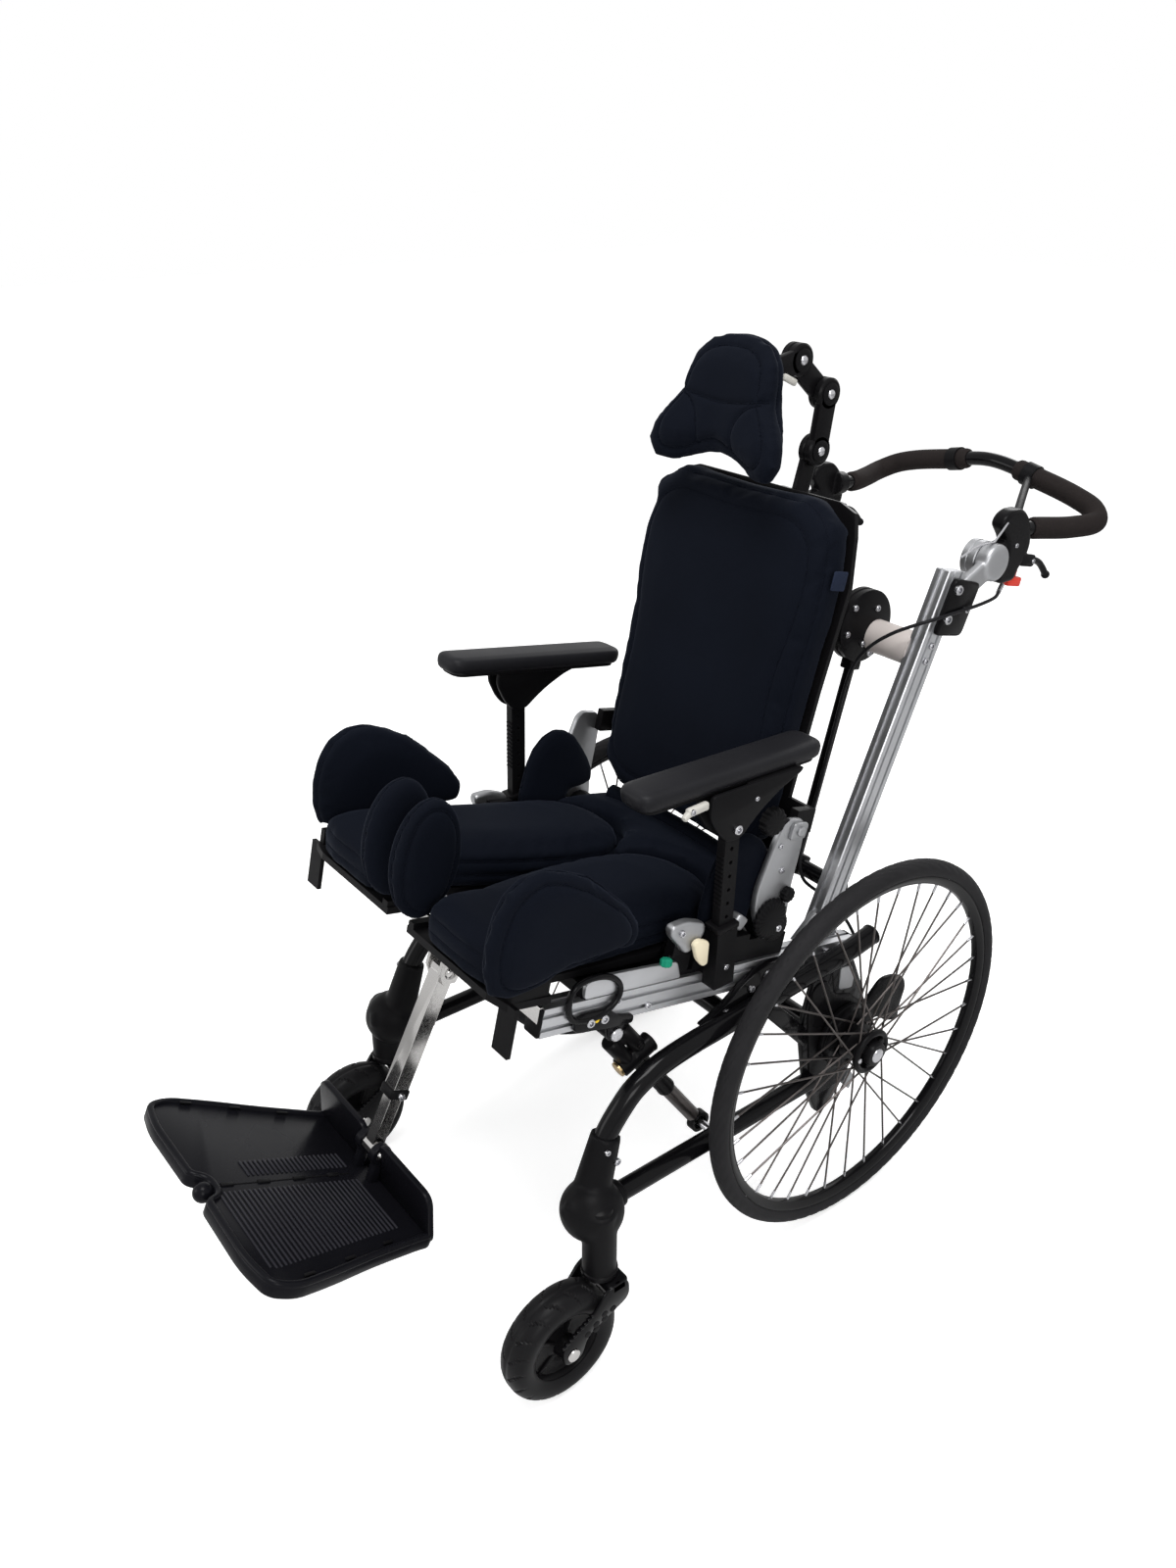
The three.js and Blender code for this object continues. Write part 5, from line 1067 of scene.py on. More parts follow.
def back_hardware(word, side):
    """The hip casting with its knobs, clamp and screws."""
    arm = Form(side).plate(rounded(HIP_ARM, 14, 5), on_seat, 213.5, 224.5, 3.4)
    arm.piece(f"hip_casting_{word}", "casting", "back", "cast_aluminium", [f"hip_arm_{word}"])
    cap = Form(side)
    cap.turned(seat(224, 55, 75), X_AXIS, ((0, 21), (1, 22), (4, 22), (6.5, 18), (7, 10)),
               96, 24, 1.4)
    cap.turned(seat(224.4, 38, 90), X_AXIS, ((0, 29), (1, 30), (5, 30), (7.6, 26), (8, 12)),
               120, 24, 2)
    cap.turned(seat(224.5, 59, 124), X_AXIS, ((0, 10), (2, 11), (9, 11), (11, 9)), 60, 10, 1.6)
    if side > 0:
        cap.turned(seat(217, -2, 234), X_AXIS, (
            (0, 17), (1.5, 20), (12, 20), (14.6, 18), (15.6, 12)), 96, 12, 2.2)
        cap.bar(seat(219, 34, 222), seat(219, -2, 234), 8, 20, 2)
    cap.piece(f"back_knobs_{word}", "nylon", "back", "plastic_black")
    block = Form(side)
    block.plate(rounded(((36, 204), (66, 205), (67, 228), (38, 229)), 6), on_seat, 224, 230, 2)
    block.turned(seat(230, 52, 217), X_AXIS, ((0, 7), (3, 7), (4, 5.5)), 24)
    block.piece(f"hip_clamp_{word}", "casting", "back", "cast_aluminium")
    heads = [(seat(224.5, 26, 196), X_AXIS, 4, 3), (seat(231, 55, 75), X_AXIS, 5, 3),
             (seat(224.5, 40, 160), X_AXIS, 4.4, 3.4)]
    bolts(f"back_bolts_{word}", "back", heads, side=side)


# Arm supports


def arm_axis(x, s, ahead=0):
    """A place along an arm post, s from the seat rail."""
    v = ARM_FOOT - s * math.sin(ARM_LEAN) - ahead * math.cos(ARM_LEAN)
    w = s * math.cos(ARM_LEAN) - ahead * math.sin(ARM_LEAN)
    return seat(x, v, w)


def arm_support(word, side, top, pitch):
    """An arm pad on its bracket; top is its place along the post and pitch its own angle."""
    body = f"arm_pad_{word}"
    turn = math.radians(pitch)
    middle = (ARM_FOOT - top * math.sin(ARM_LEAN), top * math.cos(ARM_LEAN))

    def place(x, y, z):
        return seat(x, middle[0] + y * math.cos(turn) + z * math.sin(turn),
                    middle[1] - y * math.sin(turn) + z * math.cos(turn))

    near, far, front, rear = ARM_X - 28, ARM_X + 28, -148.5, 156.5
    outline = rounded(((near, front), (far, front), (far, rear), (near, rear)), 21, 8)
    layers = ((10, 56), (4, 57), (1.4, 60), (0.2, 65), (0, 70), (0.5, 73), (1.8, 75.6), (4, 77.4),
              (9, 79), (13, 79.6))
    pad = Form(side).shell([[place(*p, height) for p in drawn_in(outline, inset)]
                            for inset, height in layers])
    made = pad.piece(f"pad_{word}", "skin", body, "pad_charcoal", [f"arm_pad_{word}"], 60)
    base = Form(side)
    base.plate(rounded(((186, -140), (232, -140), (232, 148), (186, 148)), 18, 6), place,
               52, 57, 1.2)
    rib = ((-46, 56), (-47, 26), (-30, 0), (-13, -15), (9, -15), (26, 2), (44, 17), (72, 35),
           (108, 50), (112, 56))
    web = ((18, 56), (26, 15), (44, 20), (72, 38), (106, 52), (108, 56))
    for outline, inner, outer, edge in ((rounded(rib, 9, 5), 214, 221, 1.6),
                                        (rounded(rib, 9, 5), 237, 243, 1.6),
                                        (rounded(web, 4), 219, 239, 1)):
        base.plate(outline, lambda y, z, x: place(x, y, z), inner, outer, edge)
    base.piece(f"pad_bracket_{word}", "nylon", body, "plastic_black")
    heads = [(place(243, 0, 0), X_AXIS, 6.4, 4.6), (place(243, -78, 46), X_AXIS, 4, 3),
             (place(243, 30, 34), X_AXIS, 3.2, 2)]
    bolts(f"pad_bolts_{word}", body, heads, side=side)
    quick = Form(side)
    quick.bar(place(238, -50, 46), place(240, -84, 45), 9, 11, 2.4)
    quick.bar(place(240, -80, 45), place(242, -91, 39), 8, 8, 2.4)
    quick.piece(f"pad_lever_{word}", "grey_plastic", body, "cast_aluminium")


def arm_socket(word, side):
    """The teeth on the post, and the collar, levers and knob of its socket."""
    teeth = Form(side)
    lowest = 132 if side > 0 else 148
    for n in range(12):
        s = lowest + n * 6.5
        teeth.bar(arm_axis(230, s, 11.4), arm_axis(230, s + 3, 11.4), 13, 4.4, 0.8)
    teeth.piece(f"post_teeth_{word}", "nylon", f"arm_post_{word}", "plastic_black")
    collar = Form(side)
    collar.bar(arm_axis(230.1, 96), arm_axis(230.1, 104), 28, 39, 2)
    collar.piece(f"socket_collar_{word}", "satin_black", "seat", "plastic_black")
    block = Form(side)
    block.plate(rounded(((-148, 106), (-120, 111), (-88, 104), (-85, 88), (-102, 67), (-112, 62),
                         (-128, 76), (-146, 92)), 8), on_seat, 214, 230, 4)
    block.plate(rounded(((-46, 97), (-34, 112), (-16, 101), (-28, 85)), 4), on_seat, 221, 238, 2.4)
    block.casting(f"socket_block_{word}", "casting", "seat", "cast_aluminium", voxel=1.8, rounds=4)
    ivory = Form(side)
    ivory.plate(rounded(((-112, 80), (-103, 87), (-84, 81), (-78, 48), (-86, 45), (-99, 56)), 5),
                on_seat, 230.4, 239, 2.4)
    ivory.piece(f"ivory_lever_{word}", "ivory", "seat", "catch_red")
    green = Form(side)
    green.turned(seat(221, -138, 58), -UP + X_AXIS * 0.2, ((0, 6), (2, 8), (9, 8), (11, 6.4)),
                 40, 8, 1)
    green.piece(f"green_knob_{word}", "green", "seat", "catch_red")
    heads = [(seat(229.6, -130, 96), X_AXIS, 4.6, 4), (seat(242, -46, 40), X_AXIS, 4.2, 3)]
    bolts(f"socket_bolts_{word}", "seat", heads, side=side)


# Footrest


def footrest(sizes):
    """The footplate with its ribs and slots, and the pins and collar of its posts."""

    def place(x, y, z):
        return seat(x, FOOT_PIVOT[0] + y * math.cos(FOOT_PITCH) + z * math.sin(FOOT_PITCH),
                    FOOT_PIVOT[1] - y * math.sin(FOOT_PITCH) + z * math.cos(FOOT_PITCH))

    def upright_board(x, s, t):
        return place(x, 25 - 0.39 * s - 0.92 * t, -57 + 0.92 * s - 0.39 * t)

    half = [(x, -front) for x, front in FOOTPLATE_EDGE]
    outline = rounded([*half, *((-x, y) for x, y in reversed(half))], 30, 8)
    board = Form().plate(outline, place, -58, -41, 2.4)
    board.tube([place(x, y, -41.4) for x, y in drawn_in(outline, 5)], 5, 14, 0, True)
    for side in (-1, 1):
        low, high = side * 18, side * 147
        wall = ((low, 0), (high, 0), (high, 84), (low, 84))
        board.plate(rounded(wall, 20, 6), upright_board, -4.5, 4.5, 2)
        board.turned(seat(side * 12.5, *FOOT_PIVOT), X_AXIS * side,
                     ((0, 14), (1, 15), (11, 15), (12, 14)), 32)
        board.bar(place(side * 18.4, 0, -4), place(side * 18.4, 2, -48), 11.6, 16, 2)
    board.ball(place(0, -235, -49), 13)
    board.piece("foot_board", "ribbed_black", "footplate", "footplate_black", ["footplate"])
    edge = ((20, 122), (80, 134), (150, 150), (215, 164), (226, 160))
    ribs = Form()
    ahead = edge[0][0]
    while ahead < edge[-1][0]:
        a, b = next((a, b) for a, b in zip(edge, edge[1:]) if a[0] <= ahead < b[0])
        reach = a[1] + (b[1] - a[1]) * (ahead - a[0]) / (b[0] - a[0])
        for start, end in ((14, reach), (-14, -46))[:2 if ahead < 170 else 1]:
            ribs.bar(place(start, -ahead, -40.8), place(end, -ahead, -40.8), 3, 3.4, 1.3, BACK)
        ahead += sizes.rib_pitch / MM
    # The ribs take a lighter finish than the board: a painted highlight
    ribs.piece("footplate_ribs", "rib_painted_highlight", "footplate", "footplate_black")
    slots = Form()
    for side in (-1, 1):
        for ahead, x in ((52, 148), (118, 166), (184, 183)):
            slots.bar(place(side * (x - 1.6), -ahead + 8, -37.6),
                      place(side * (x + 1.6), -ahead - 8, -37.6), 4, 2, 0.8)
    for ahead in (40, 92, 144, 196):
        slots.bar(place(0, -ahead, -40.2), place(0, -ahead - 18, -40.2), 7, 3, 1.4)
    slots.bar(place(0, -222, -40.9), place(0, -24, -40.9), 2.4, 1.4, 0.5)
    slots.piece("footplate_slots", "nylon", "footplate", "footplate_black")
    for word, body, x, hinge in (("upper", "seat", 18, FOOT_HINGE),
                                 ("lower", "footplate", 24.4, FOOT_PIVOT)):
        pins = Form()
        for way in (-1, 1):
            pins.dome(seat(way * x, *hinge), X_AXIS * way, 9, 4.4)
        pins.piece(f"foot_pins_{word}", "chrome", body, "chrome")
    collar = Form()
    axis = (seat(0, *FOOT_PIVOT) - seat(0, *FOOT_HINGE)).normalized()
    start = seat(0, *FOOT_HINGE) + axis * 178 * MM
    collar.bar(start, start + axis * 14 * MM, 30, 30, 2.4)
    collar.piece("foot_collar", "nylon", "foot_post", "plastic_black")
    bolts("foot_screw", "foot_post", [(start + axis * 7 * MM + X_AXIS * 15 * MM, X_AXIS, 5, 5)])


# Cushions

CLOTH_FRAMES = 14


class Pad:
    """A cushion: the CAD form meshed evenly, swollen as cloth, then sewn."""

    def __init__(self, name, node, body, swell, face, rest=None, voxel=6, trim=None):
        self.name, self.node, self.body = name, node, body
        self.swell, self.face, self.rest = swell, face, rest
        shape = bmesh.new()
        shape.from_mesh(frame["nodes"][node].data)
        bmesh.ops.remove_doubles(shape, verts=shape.verts, dist=MERGE_DISTANCE)
        if trim:
            everything = shape.verts[:] + shape.edges[:] + shape.faces[:]
            bmesh.ops.bisect_plane(shape, geom=everything, plane_co=trim[0], plane_no=trim[1],
                                   clear_outer=True)
            bmesh.ops.holes_fill(shape, edges=[e for e in shape.edges if e.is_boundary])
        data = bpy.data.meshes.new(name)
        shape.to_mesh(data)
        shape.free()
        self.made = bpy.data.objects.new(name, data)
        bpy.context.scene.collection.objects.link(self.made)
        self.seat_line = max(v.co.dot(rest) for v in data.vertices) if rest else 0
        fuse = self.made.modifiers.new("Fuse", "REMESH")
        fuse.mode = "VOXEL"
        fuse.voxel_size = voxel * MM
        ease = self.made.modifiers.new("Ease", "SMOOTH")
        ease.factor = 0.5
        ease.iterations = 7
        settle(self.made)
        self.start = [v.co.copy() for v in self.made.data.vertices]

    def stuff(self, pressure):
        """Lets the cover swell as cloth under pressure."""
        cloth = self.made.modifiers.new("Cloth", "CLOTH")
        cloth.settings.quality = 4
        cloth.settings.use_pressure = True
        cloth.settings.uniform_pressure_force = pressure
        cloth.settings.effector_weights.gravity = 0

    def hold(self, graph):
        """Keeps the cloth's shape, with each point moved no further than the cover gives."""
        swollen = self.made.evaluated_get(graph).data.vertices
        for vertex, old, new in zip(self.made.data.vertices, self.start, swollen):
            step = new.co - old
            reach = step.length
            if reach > self.swell * MM:
                step *= self.swell * MM / reach
            point = old + step
            if self.rest:
                beyond = point.dot(self.rest) - self.seat_line
                if beyond > 0:
                    point -= self.rest * beyond
            vertex.co = point
        self.made.modifiers.clear()

    def refine(self):
        """Smooths the cover and takes it as the pad's mesh."""
        fine = self.made.modifiers.new("Fine", "SUBSURF")
        fine.levels = fine.render_levels = 1
        settle(self.made)
        shade(self.made.data, 180)
        self.update()

    def update(self):
        """Notes the mesh's surface and middle after a change."""
        data = self.made.data
        self.tree = BVHTree.FromPolygons([v.co for v in data.vertices],
                                         [p.vertices for p in data.polygons])
        total = sum((v.co for v in data.vertices), Vector())
        self.middle = total / len(data.vertices)

    def side_line(self, lift=0, count=96):
        """The pad's edge all round, lifted towards its face."""
        a = self.face.orthogonal().normalized()
        b = self.face.cross(a)
        centre = self.middle + self.face * lift * MM
        points = []
        for n in range(count):
            angle = 2 * math.pi * n / count
            out = a * math.cos(angle) + b * math.sin(angle)
            hit = self.tree.ray_cast(centre + out, -out)[0]
            if hit:
                points.append(hit)
        for _ in range(4):
            points = [(a + b * 2 + c) / 4 for a, b, c in
                      zip(points[-1:] + points, points, points[1:] + points[:1])]
        return points

    def face_line(self, inset):
        """A line on the face, a distance in from the edge."""
        points = []
        for edge in self.side_line():
            inward = self.middle - edge
            inward -= self.face * inward.dot(self.face)
            start = edge + inward.normalized() * inset * MM + self.face * 0.3
            hit = self.tree.ray_cast(start, -self.face)[0]
            if hit:
                points.append(hit)
        return points

    def across_line(self, places, count=28):
        """A curved line over the face through some places."""
        points = []
        for place in curved(places, count):
            hit = self.tree.ray_cast(place + self.face * 0.3, -self.face)[0]
            if hit:
                points.append(hit)
        return points

    def sew(self, sizes, closed, opened=()):
        """Pulls the cover in along each line and lays its seam there."""
        lines = [(curved(points, max(60, len(points) * 4), loop), loop)
                 for group, loop in ((closed, True), (opened, False)) for points in group]
        near = [point for line, loop in lines for point in line]
        tree = kdtree.KDTree(len(near))
        for n, point in enumerate(near):
            tree.insert(point, n)
        tree.balance()
        normals = [vertex.normal.copy() for vertex in self.made.data.vertices]
        for vertex, normal in zip(self.made.data.vertices, normals):
            distance = tree.find(vertex.co)[2] / MM
            if distance < 16:
                sharp = math.exp(-(distance / 2.6) ** 2)
                soft = math.exp(-(distance / 7.5) ** 2)
                vertex.co -= normal * sizes.seam_depth * (sharp * 0.7 + soft * 0.5)
        self.update()
        seams = Form()
        for line, loop in lines:
            laid = []
            for point in line:
                place, normal = self.tree.find_nearest(point)[:2]
                laid.append(place + normal * sizes.welt * 0.2)
            seams.tube(laid, sizes.welt / MM, 6, 0, loop)
        seams.piece(f"{self.name}_seam", "knit", self.body, "fabric_navy")

    def finish(self, fill):
        """Dresses the pad."""
        dress(self.made, "knit", self.body, [self.node])


def mirrored(made, name, body, nodes, shift=0):
    """The other side's copy of a pad or seam."""
    data = made.data.copy()
    data.name = name
    data.transform(Matrix.Translation(BACK * shift * MM) @ Matrix.Scale(-1, 4, X_AXIS))
    data.flip_normals()
    other = bpy.data.objects.new(name, data)
    bpy.context.scene.collection.objects.link(other)
    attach(other, body)
    if nodes:
        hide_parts(*nodes)
    return other


def sew_cushions(pads, sizes):
    """The seams of each pad; the head's also run across its face."""
    low, back, head, thigh, guide, knee, hip = pads.values()
    low.sew(sizes, [low.side_line(6)])
    back.sew(sizes, [back.face_line(30), back.side_line(12)])
    brow = ((-84, 736), (-50, 728), (0, 724), (50, 728), (84, 736))
    wing = ((72, 730), (50, 720), (37, 704), (32, 686), (33, 666))
    head.sew(sizes, [head.face_line(15), head.side_line(-4)],
             [head.across_line([seat(side * x, 0, w) for x, w in line])
              for side, line in ((1, brow), (-1, wing), (1, wing))])
    thigh.sew(sizes, [thigh.side_line(8), thigh.side_line(-12)])
    guide.sew(sizes, [guide.face_line(13), guide.side_line()])
    knee.sew(sizes, [knee.side_line(), knee.face_line(12)])
    hip.sew(sizes, [hip.side_line()])


def make_cushions(sizes):
    """Swells the left side's pads, sews them, and copies them to the right."""
    rear_of_head = (seat(0, 12, 0), BACK)
    pads = {
        "seat": Pad("seat_pad", "seat_cushion", "seat", 4, UP, -UP),
        "back": Pad("back_pad", "back_cushion", "back", 9, -BACK, BACK, 7),
        "head": Pad("head_pad", "head_cushion", "head", 5, -BACK, BACK, 4.5, rear_of_head),
        "thigh": Pad("thigh_pad_left", "thigh_cushion_left", "thigh_left", 4.5, UP, -UP),
        "guide": Pad("guide_pad_left", "thigh_guide_left", "thigh_left", 4, X_AXIS, None, 5),
        "knee": Pad("knee_pad_soft_left", "knee_pad_left", "thigh_left", 4, X_AXIS, None, 5),
        "hip": Pad("hip_pad_left", "hip_guide_left", "seat", 2, -X_AXIS, X_AXIS, 4),
    }
    for pad in pads.values():
        pad.stuff(sizes.pressure)
    for number in range(CLOTH_FRAMES):
        bpy.context.scene.frame_set(number + 1)
    graph = bpy.context.evaluated_depsgraph_get()
    for pad in pads.values():
        pad.hold(graph)
    bpy.context.scene.frame_set(1)
    for pad in pads.values():
        pad.refine()
    sew_cushions(pads, sizes)
    roll = Form().tube([seat(x, v, 120) for x, v in ((-158, 64), (-90, 74), (0, 80), (90, 74),
                                                     (158, 64))], (4, *[13] * 47, 4), 24, 48)
    roll.piece("seat_roll", "knit", "seat", "fabric_navy")
    for word, fill in (("seat", 0.7), ("back", 0.7), ("head", 0.6), ("thigh", 0.7), ("guide", 0.7),
                       ("knee", 0.7), ("hip", 0.5)):
        pads[word].finish(fill)
    for word, node, body, shift in (("thigh", "thigh_cushion", "thigh_right", 0),
                                    ("guide", "thigh_guide", "thigh_right", 44),
                                    ("knee", "knee_pad", "thigh_right", 0),
                                    ("hip", "hip_guide", "seat", 0)):
        name = pads[word].name.replace("left", "right")
        other = mirrored(pads[word].made, name, body, [f"{node}_right"], shift)
        seam = bpy.data.objects[f"{pads[word].name}_seam"]
        mirrored(seam, f"{name}_seam", body, [], shift)


# Stage: places and sizes in metres; a lamp has its place, the height it aims at, its size and watts

CAMERA_PLACE, CAMERA_LENS = (1.1926, -1.0402, 1.4959), 28.906
CAMERA_HEADING = (-0.6993, 0.5466, -0.4607)
LAMPS = (("over", (0.6, -0.6, 3.6), 0.5, 1.5, 85), ("near", (3.2, -1.6, 2.2), 0.6, 1.4, 45),
         ("front", (-1.6, -3.4, 1.8), 0.6, 1.6, 30), ("rear", (-1.2, 3.2, 2.4), 0.7, 1.4, 22))
FLOOR_GLOW, WORLD_LEVEL = 0.56, 0.55


def soft_lamp(name, place, aim, size, watts):
    """A square area lamp that faces its aim."""
    lamp = bpy.data.lights.new(name, "AREA")
    lamp.shape = "SQUARE"
    lamp.size = size
    lamp.energy = watts
    made = bpy.data.objects.new(name, lamp)
    made.location = place
    made.rotation_euler = (Vector(aim) - Vector(place)).to_track_quat("-Z", "Y").to_euler()
    bpy.context.scene.collection.objects.link(made)


def make_floor(glow):
    """A pale floor that glows to the camera, so that it ends white."""
    shape = bmesh.new()
    bmesh.ops.create_grid(shape, x_segments=4, y_segments=4, size=14)
    data = bpy.data.meshes.new("floor")
    shape.to_mesh(data)
    shape.free()
    floor = bpy.data.objects.new("floor", data)
    floor.location.z = -0.4 * MM
    bpy.context.scene.collection.objects.link(floor)
    made = Finish("pale floor", Base_Color=(0.84, 0.84, 0.84, 1), Roughness=0.9,
                  Specular_IOR_Level=0.1, Emission_Color=(1, 1, 1, 1))
    seen = made.node("ShaderNodeLightPath", {}, {}, "Is Camera Ray")
    plain = Signal(made, made.shader.outputs[0])
    light = made.node("ShaderNodeEmission", {}, {"Strength": glow})
    bright = made.node("ShaderNodeAddShader", {}, {0: plain, 1: light})
    mix = made.node("ShaderNodeMixShader", {}, {0: seen, 1: plain, 2: bright})
    made.tree.links.new(mix.socket, made.tree.nodes["Material Output"].inputs[0])
    data.materials.append(made.material)


def make_world(level):
    """White to the camera and in reflections; a plain grey light on the object."""
    world = bpy.data.worlds.new("Studio")
    bpy.context.scene.world = world
    world.use_nodes = True
    made = Nodes(world.node_tree)
    direct, glossy, through = [made.node("ShaderNodeLightPath", {}, {}, f"Is {ray} Ray")
                               for ray in ("Camera", "Glossy", "Transmission")]
    strength = made.node("ShaderNodeMapRange", {},
                         {"Value": direct.most(glossy).most(through), "To Min": level, "To Max": 1.0})
    background = made.tree.nodes["Background"]
    background.inputs["Color"].default_value = (1, 1, 1, 1)
    made.tree.links.new(strength.socket, background.inputs["Strength"])


# Add-on


class WheelchairColours(bpy.types.PropertyGroup):
    frame: FloatVectorProperty(
        name="Frame", description="Powder coat of the chassis and the push bow",
        subtype="COLOR", size=3, min=0, max=1, default=(0.0032, 0.0031, 0.0036))
    aluminium: FloatVectorProperty(
        name="Aluminium", description="Satin extrusions; the castings are a little darker",
        subtype="COLOR", size=3, min=0, max=1, default=(0.46, 0.465, 0.48))
    cover: FloatVectorProperty(
        name="Cover", description="Lit colour of the cushions' stretch cover",
        subtype="COLOR", size=3, min=0, max=1, default=(0.0046, 0.0062, 0.0115))
    pad: FloatVectorProperty(
        name="Arm pads", description="Satin skin of the arm pads",
        subtype="COLOR", size=3, min=0, max=1, default=(0.0085, 0.0085, 0.01))
    tyre: FloatVectorProperty(
        name="Tyres", description="Dusty grey rubber of the rear tyres",
        subtype="COLOR", size=3, min=0, max=1, default=(0.0135, 0.0132, 0.0142))


class WheelchairSizes(bpy.types.PropertyGroup):
    spokes: IntProperty(
        name="Spokes", description="Spokes of each rear wheel", default=36, min=12, max=72)
    spoke_radius: FloatProperty(
        name="Spoke radius", description="Half the thickness of a spoke",
        default=1.5 * MM, min=0.5 * MM, max=3 * MM, unit="LENGTH", precision=5)
    tread_blocks: IntProperty(
        name="Tread blocks", description="Blocks round each rear tyre", default=72, min=24, max=144)
    rib_pitch: FloatProperty(
        name="Rib pitch", description="From one rib of the footplate to the next",
        default=7 * MM, min=4 * MM, max=14 * MM, unit="LENGTH", precision=5)
    pressure: FloatProperty(
        name="Filling", description="Cloth pressure that swells the cushions",
        default=4, min=0, max=12)
    seam_depth: FloatProperty(
        name="Seam depth", description="How far a seam pulls the cover in",
        default=2.6 * MM, min=0, max=8 * MM, unit="LENGTH", precision=5)
    welt: FloatProperty(
        name="Seam thread", description="Half the thickness of the line along a seam",
        default=0.6 * MM, min=0.3 * MM, max=4 * MM, unit="LENGTH", precision=5)


class WHEELCHAIR_OT_camera(bpy.types.Operator):
    """Sets the camera at the photograph's viewing angle"""

    bl_idname = "wheelchair.camera"
    bl_label = "Camera"

    def execute(self, context):
        lens = bpy.data.cameras.new("Camera")
        lens.lens = CAMERA_LENS
        made = bpy.data.objects.new("Camera", lens)
        forward = Vector(CAMERA_HEADING).normalized()
        right = forward.cross(Vector((0, 0, 1))).normalized()
        rows = Matrix((right, right.cross(forward), -forward)).transposed().to_4x4()
        made.matrix_world = Matrix.Translation(CAMERA_PLACE) @ rows
        context.scene.collection.objects.link(made)
        context.scene.camera = made
        return {"FINISHED"}


class WHEELCHAIR_OT_finishes(bpy.types.Operator):
    """Makes the materials from the chosen colours"""

    bl_idname = "wheelchair.finishes"
    bl_label = "Finishes"

    def execute(self, context):
        make_finishes(context.scene.wheelchair_colours)
        return {"FINISHED"}


class WHEELCHAIR_OT_brake_cable(bpy.types.Operator):
    """Lays the brake cable from the left knuckle down into the seat rail, and its lever wire"""

    bl_idname = "wheelchair.brake_cable"
    bl_label = "Brake cable"

    def execute(self, context):
        path = curved([seat(*p) for p in CABLE], 150)
        data = bpy.data.curves.new("cable", "CURVE")
        data.dimensions = "3D"
        data.bevel_depth = CABLE_RADIUS * MM
        data.bevel_resolution = 4
        data.use_fill_caps = True
        line = data.splines.new("POLY")
        line.points.add(len(path) - 1)
        for point, place in zip(line.points, path):
            point.co = (*place, 1)
        made = bpy.data.objects.new("cable", data)
        context.scene.collection.objects.link(made)
        dress(made, "jacket", "seat", ["brake_cable"])
        sleeve = Form().tube(path[:6], 3.5, 16)
        sleeve.tube([seat(*p) for p in ((200, 351, 609), (201, 316, 602), (202, 280, 585))],
                    1.5, 10, 16)
        sleeve.piece("cable_sleeve", "zinc", "seat", "chrome")
        wire = Form().tube([seat(*p) for p in ((192, 384, 636), (197, 366, 622), (200, 351, 609))],
                           1.5, 10, 16)
        wire.piece("lever_wire", "zinc", "handle", "chrome")
        length = sum((b - a).length for a, b in zip(path, path[1:]))
        return {"FINISHED"}


class WHEELCHAIR_OT_cushions(bpy.types.Operator):
    """Swells and sews the cushions, with the roll behind the seat and the side tag"""

    bl_idname = "wheelchair.cushions"
    bl_label = "Cushions"

    def execute(self, context):
        make_cushions(context.scene.wheelchair_sizes)
        tag = Form()
        tag.plate(rounded(((528, 48), (553, 48), (553, 74), (528, 74)), 3),
                  lambda w, v, x: seat(x, v, w), 183.6, 185.6, 0.6)
        tag.piece("side_tag", "tag", "back", "fabric_navy")
        return {"FINISHED"}


class WHEELCHAIR_OT_side_frames(bpy.types.Operator):
    """Builds the tube frames of the chassis, their wheel locks and their cross tubes"""

    bl_idname = "wheelchair.side_frames"
    bl_label = "Side frames"

    def execute(self, context):
        for word, side in SIDES:
            side_frame(word, side)
        cross_tubes()
        return {"FINISHED"}


class WHEELCHAIR_OT_rear_wheels(bpy.types.Operator):
    """Builds the rear wheels with their tread, rims, spokes and hubs"""

    bl_idname = "wheelchair.rear_wheels"
    bl_label = "Rear wheels"

    def execute(self, context):
        for word, side in SIDES:
            rear_wheel(word, side, context.scene.wheelchair_sizes)
        return {"FINISHED"}


class WHEELCHAIR_OT_casters(bpy.types.Operator):
    """Builds the caster housings, forks and wheels"""

    bl_idname = "wheelchair.casters"
    bl_label = "Casters"

    def execute(self, context):
        for word, side in SIDES:
            caster_housing(word, side)
            caster_fork(word, side)
            caster_wheel(word, side)
        return {"FINISHED"}


class WHEELCHAIR_OT_tilt_struts(bpy.types.Operator):
    """Builds the gas struts that hold the seat's tilt"""

    bl_idname = "wheelchair.tilt_struts"
    bl_label = "Tilt struts"

    def execute(self, context):
        for word, side in SIDES:
            tilt_strut(word, side)
        return {"FINISHED"}


class WHEELCHAIR_OT_seat_frame(bpy.types.Operator):
    """Builds the crossbar with its clamps, the uprights, the tie-down rings and the rails' caps"""

    bl_idname = "wheelchair.seat_frame"
    bl_label = "Seat frame"

    def execute(self, context):
        seat_frame()
        return {"FINISHED"}


class WHEELCHAIR_OT_push_handle(bpy.types.Operator):
    """Builds the push bow, its grips, knuckles, brake levers and red catch"""

    bl_idname = "wheelchair.push_handle"
    bl_label = "Push handle"

    def execute(self, context):
        push_handle()
        return {"FINISHED"}


class WHEELCHAIR_OT_head_links(bpy.types.Operator):
    """Builds the headrest's jointed links"""

    bl_idname = "wheelchair.head_links"
    bl_label = "Head links"

    def execute(self, context):
        head_links()
        return {"FINISHED"}


class WHEELCHAIR_OT_back_hardware(bpy.types.Operator):
    """Builds the hip castings and the knobs of the back"""

    bl_idname = "wheelchair.back_hardware"
    bl_label = "Back hardware"

    def execute(self, context):
        for word, side in SIDES:
            back_hardware(word, side)
        return {"FINISHED"}


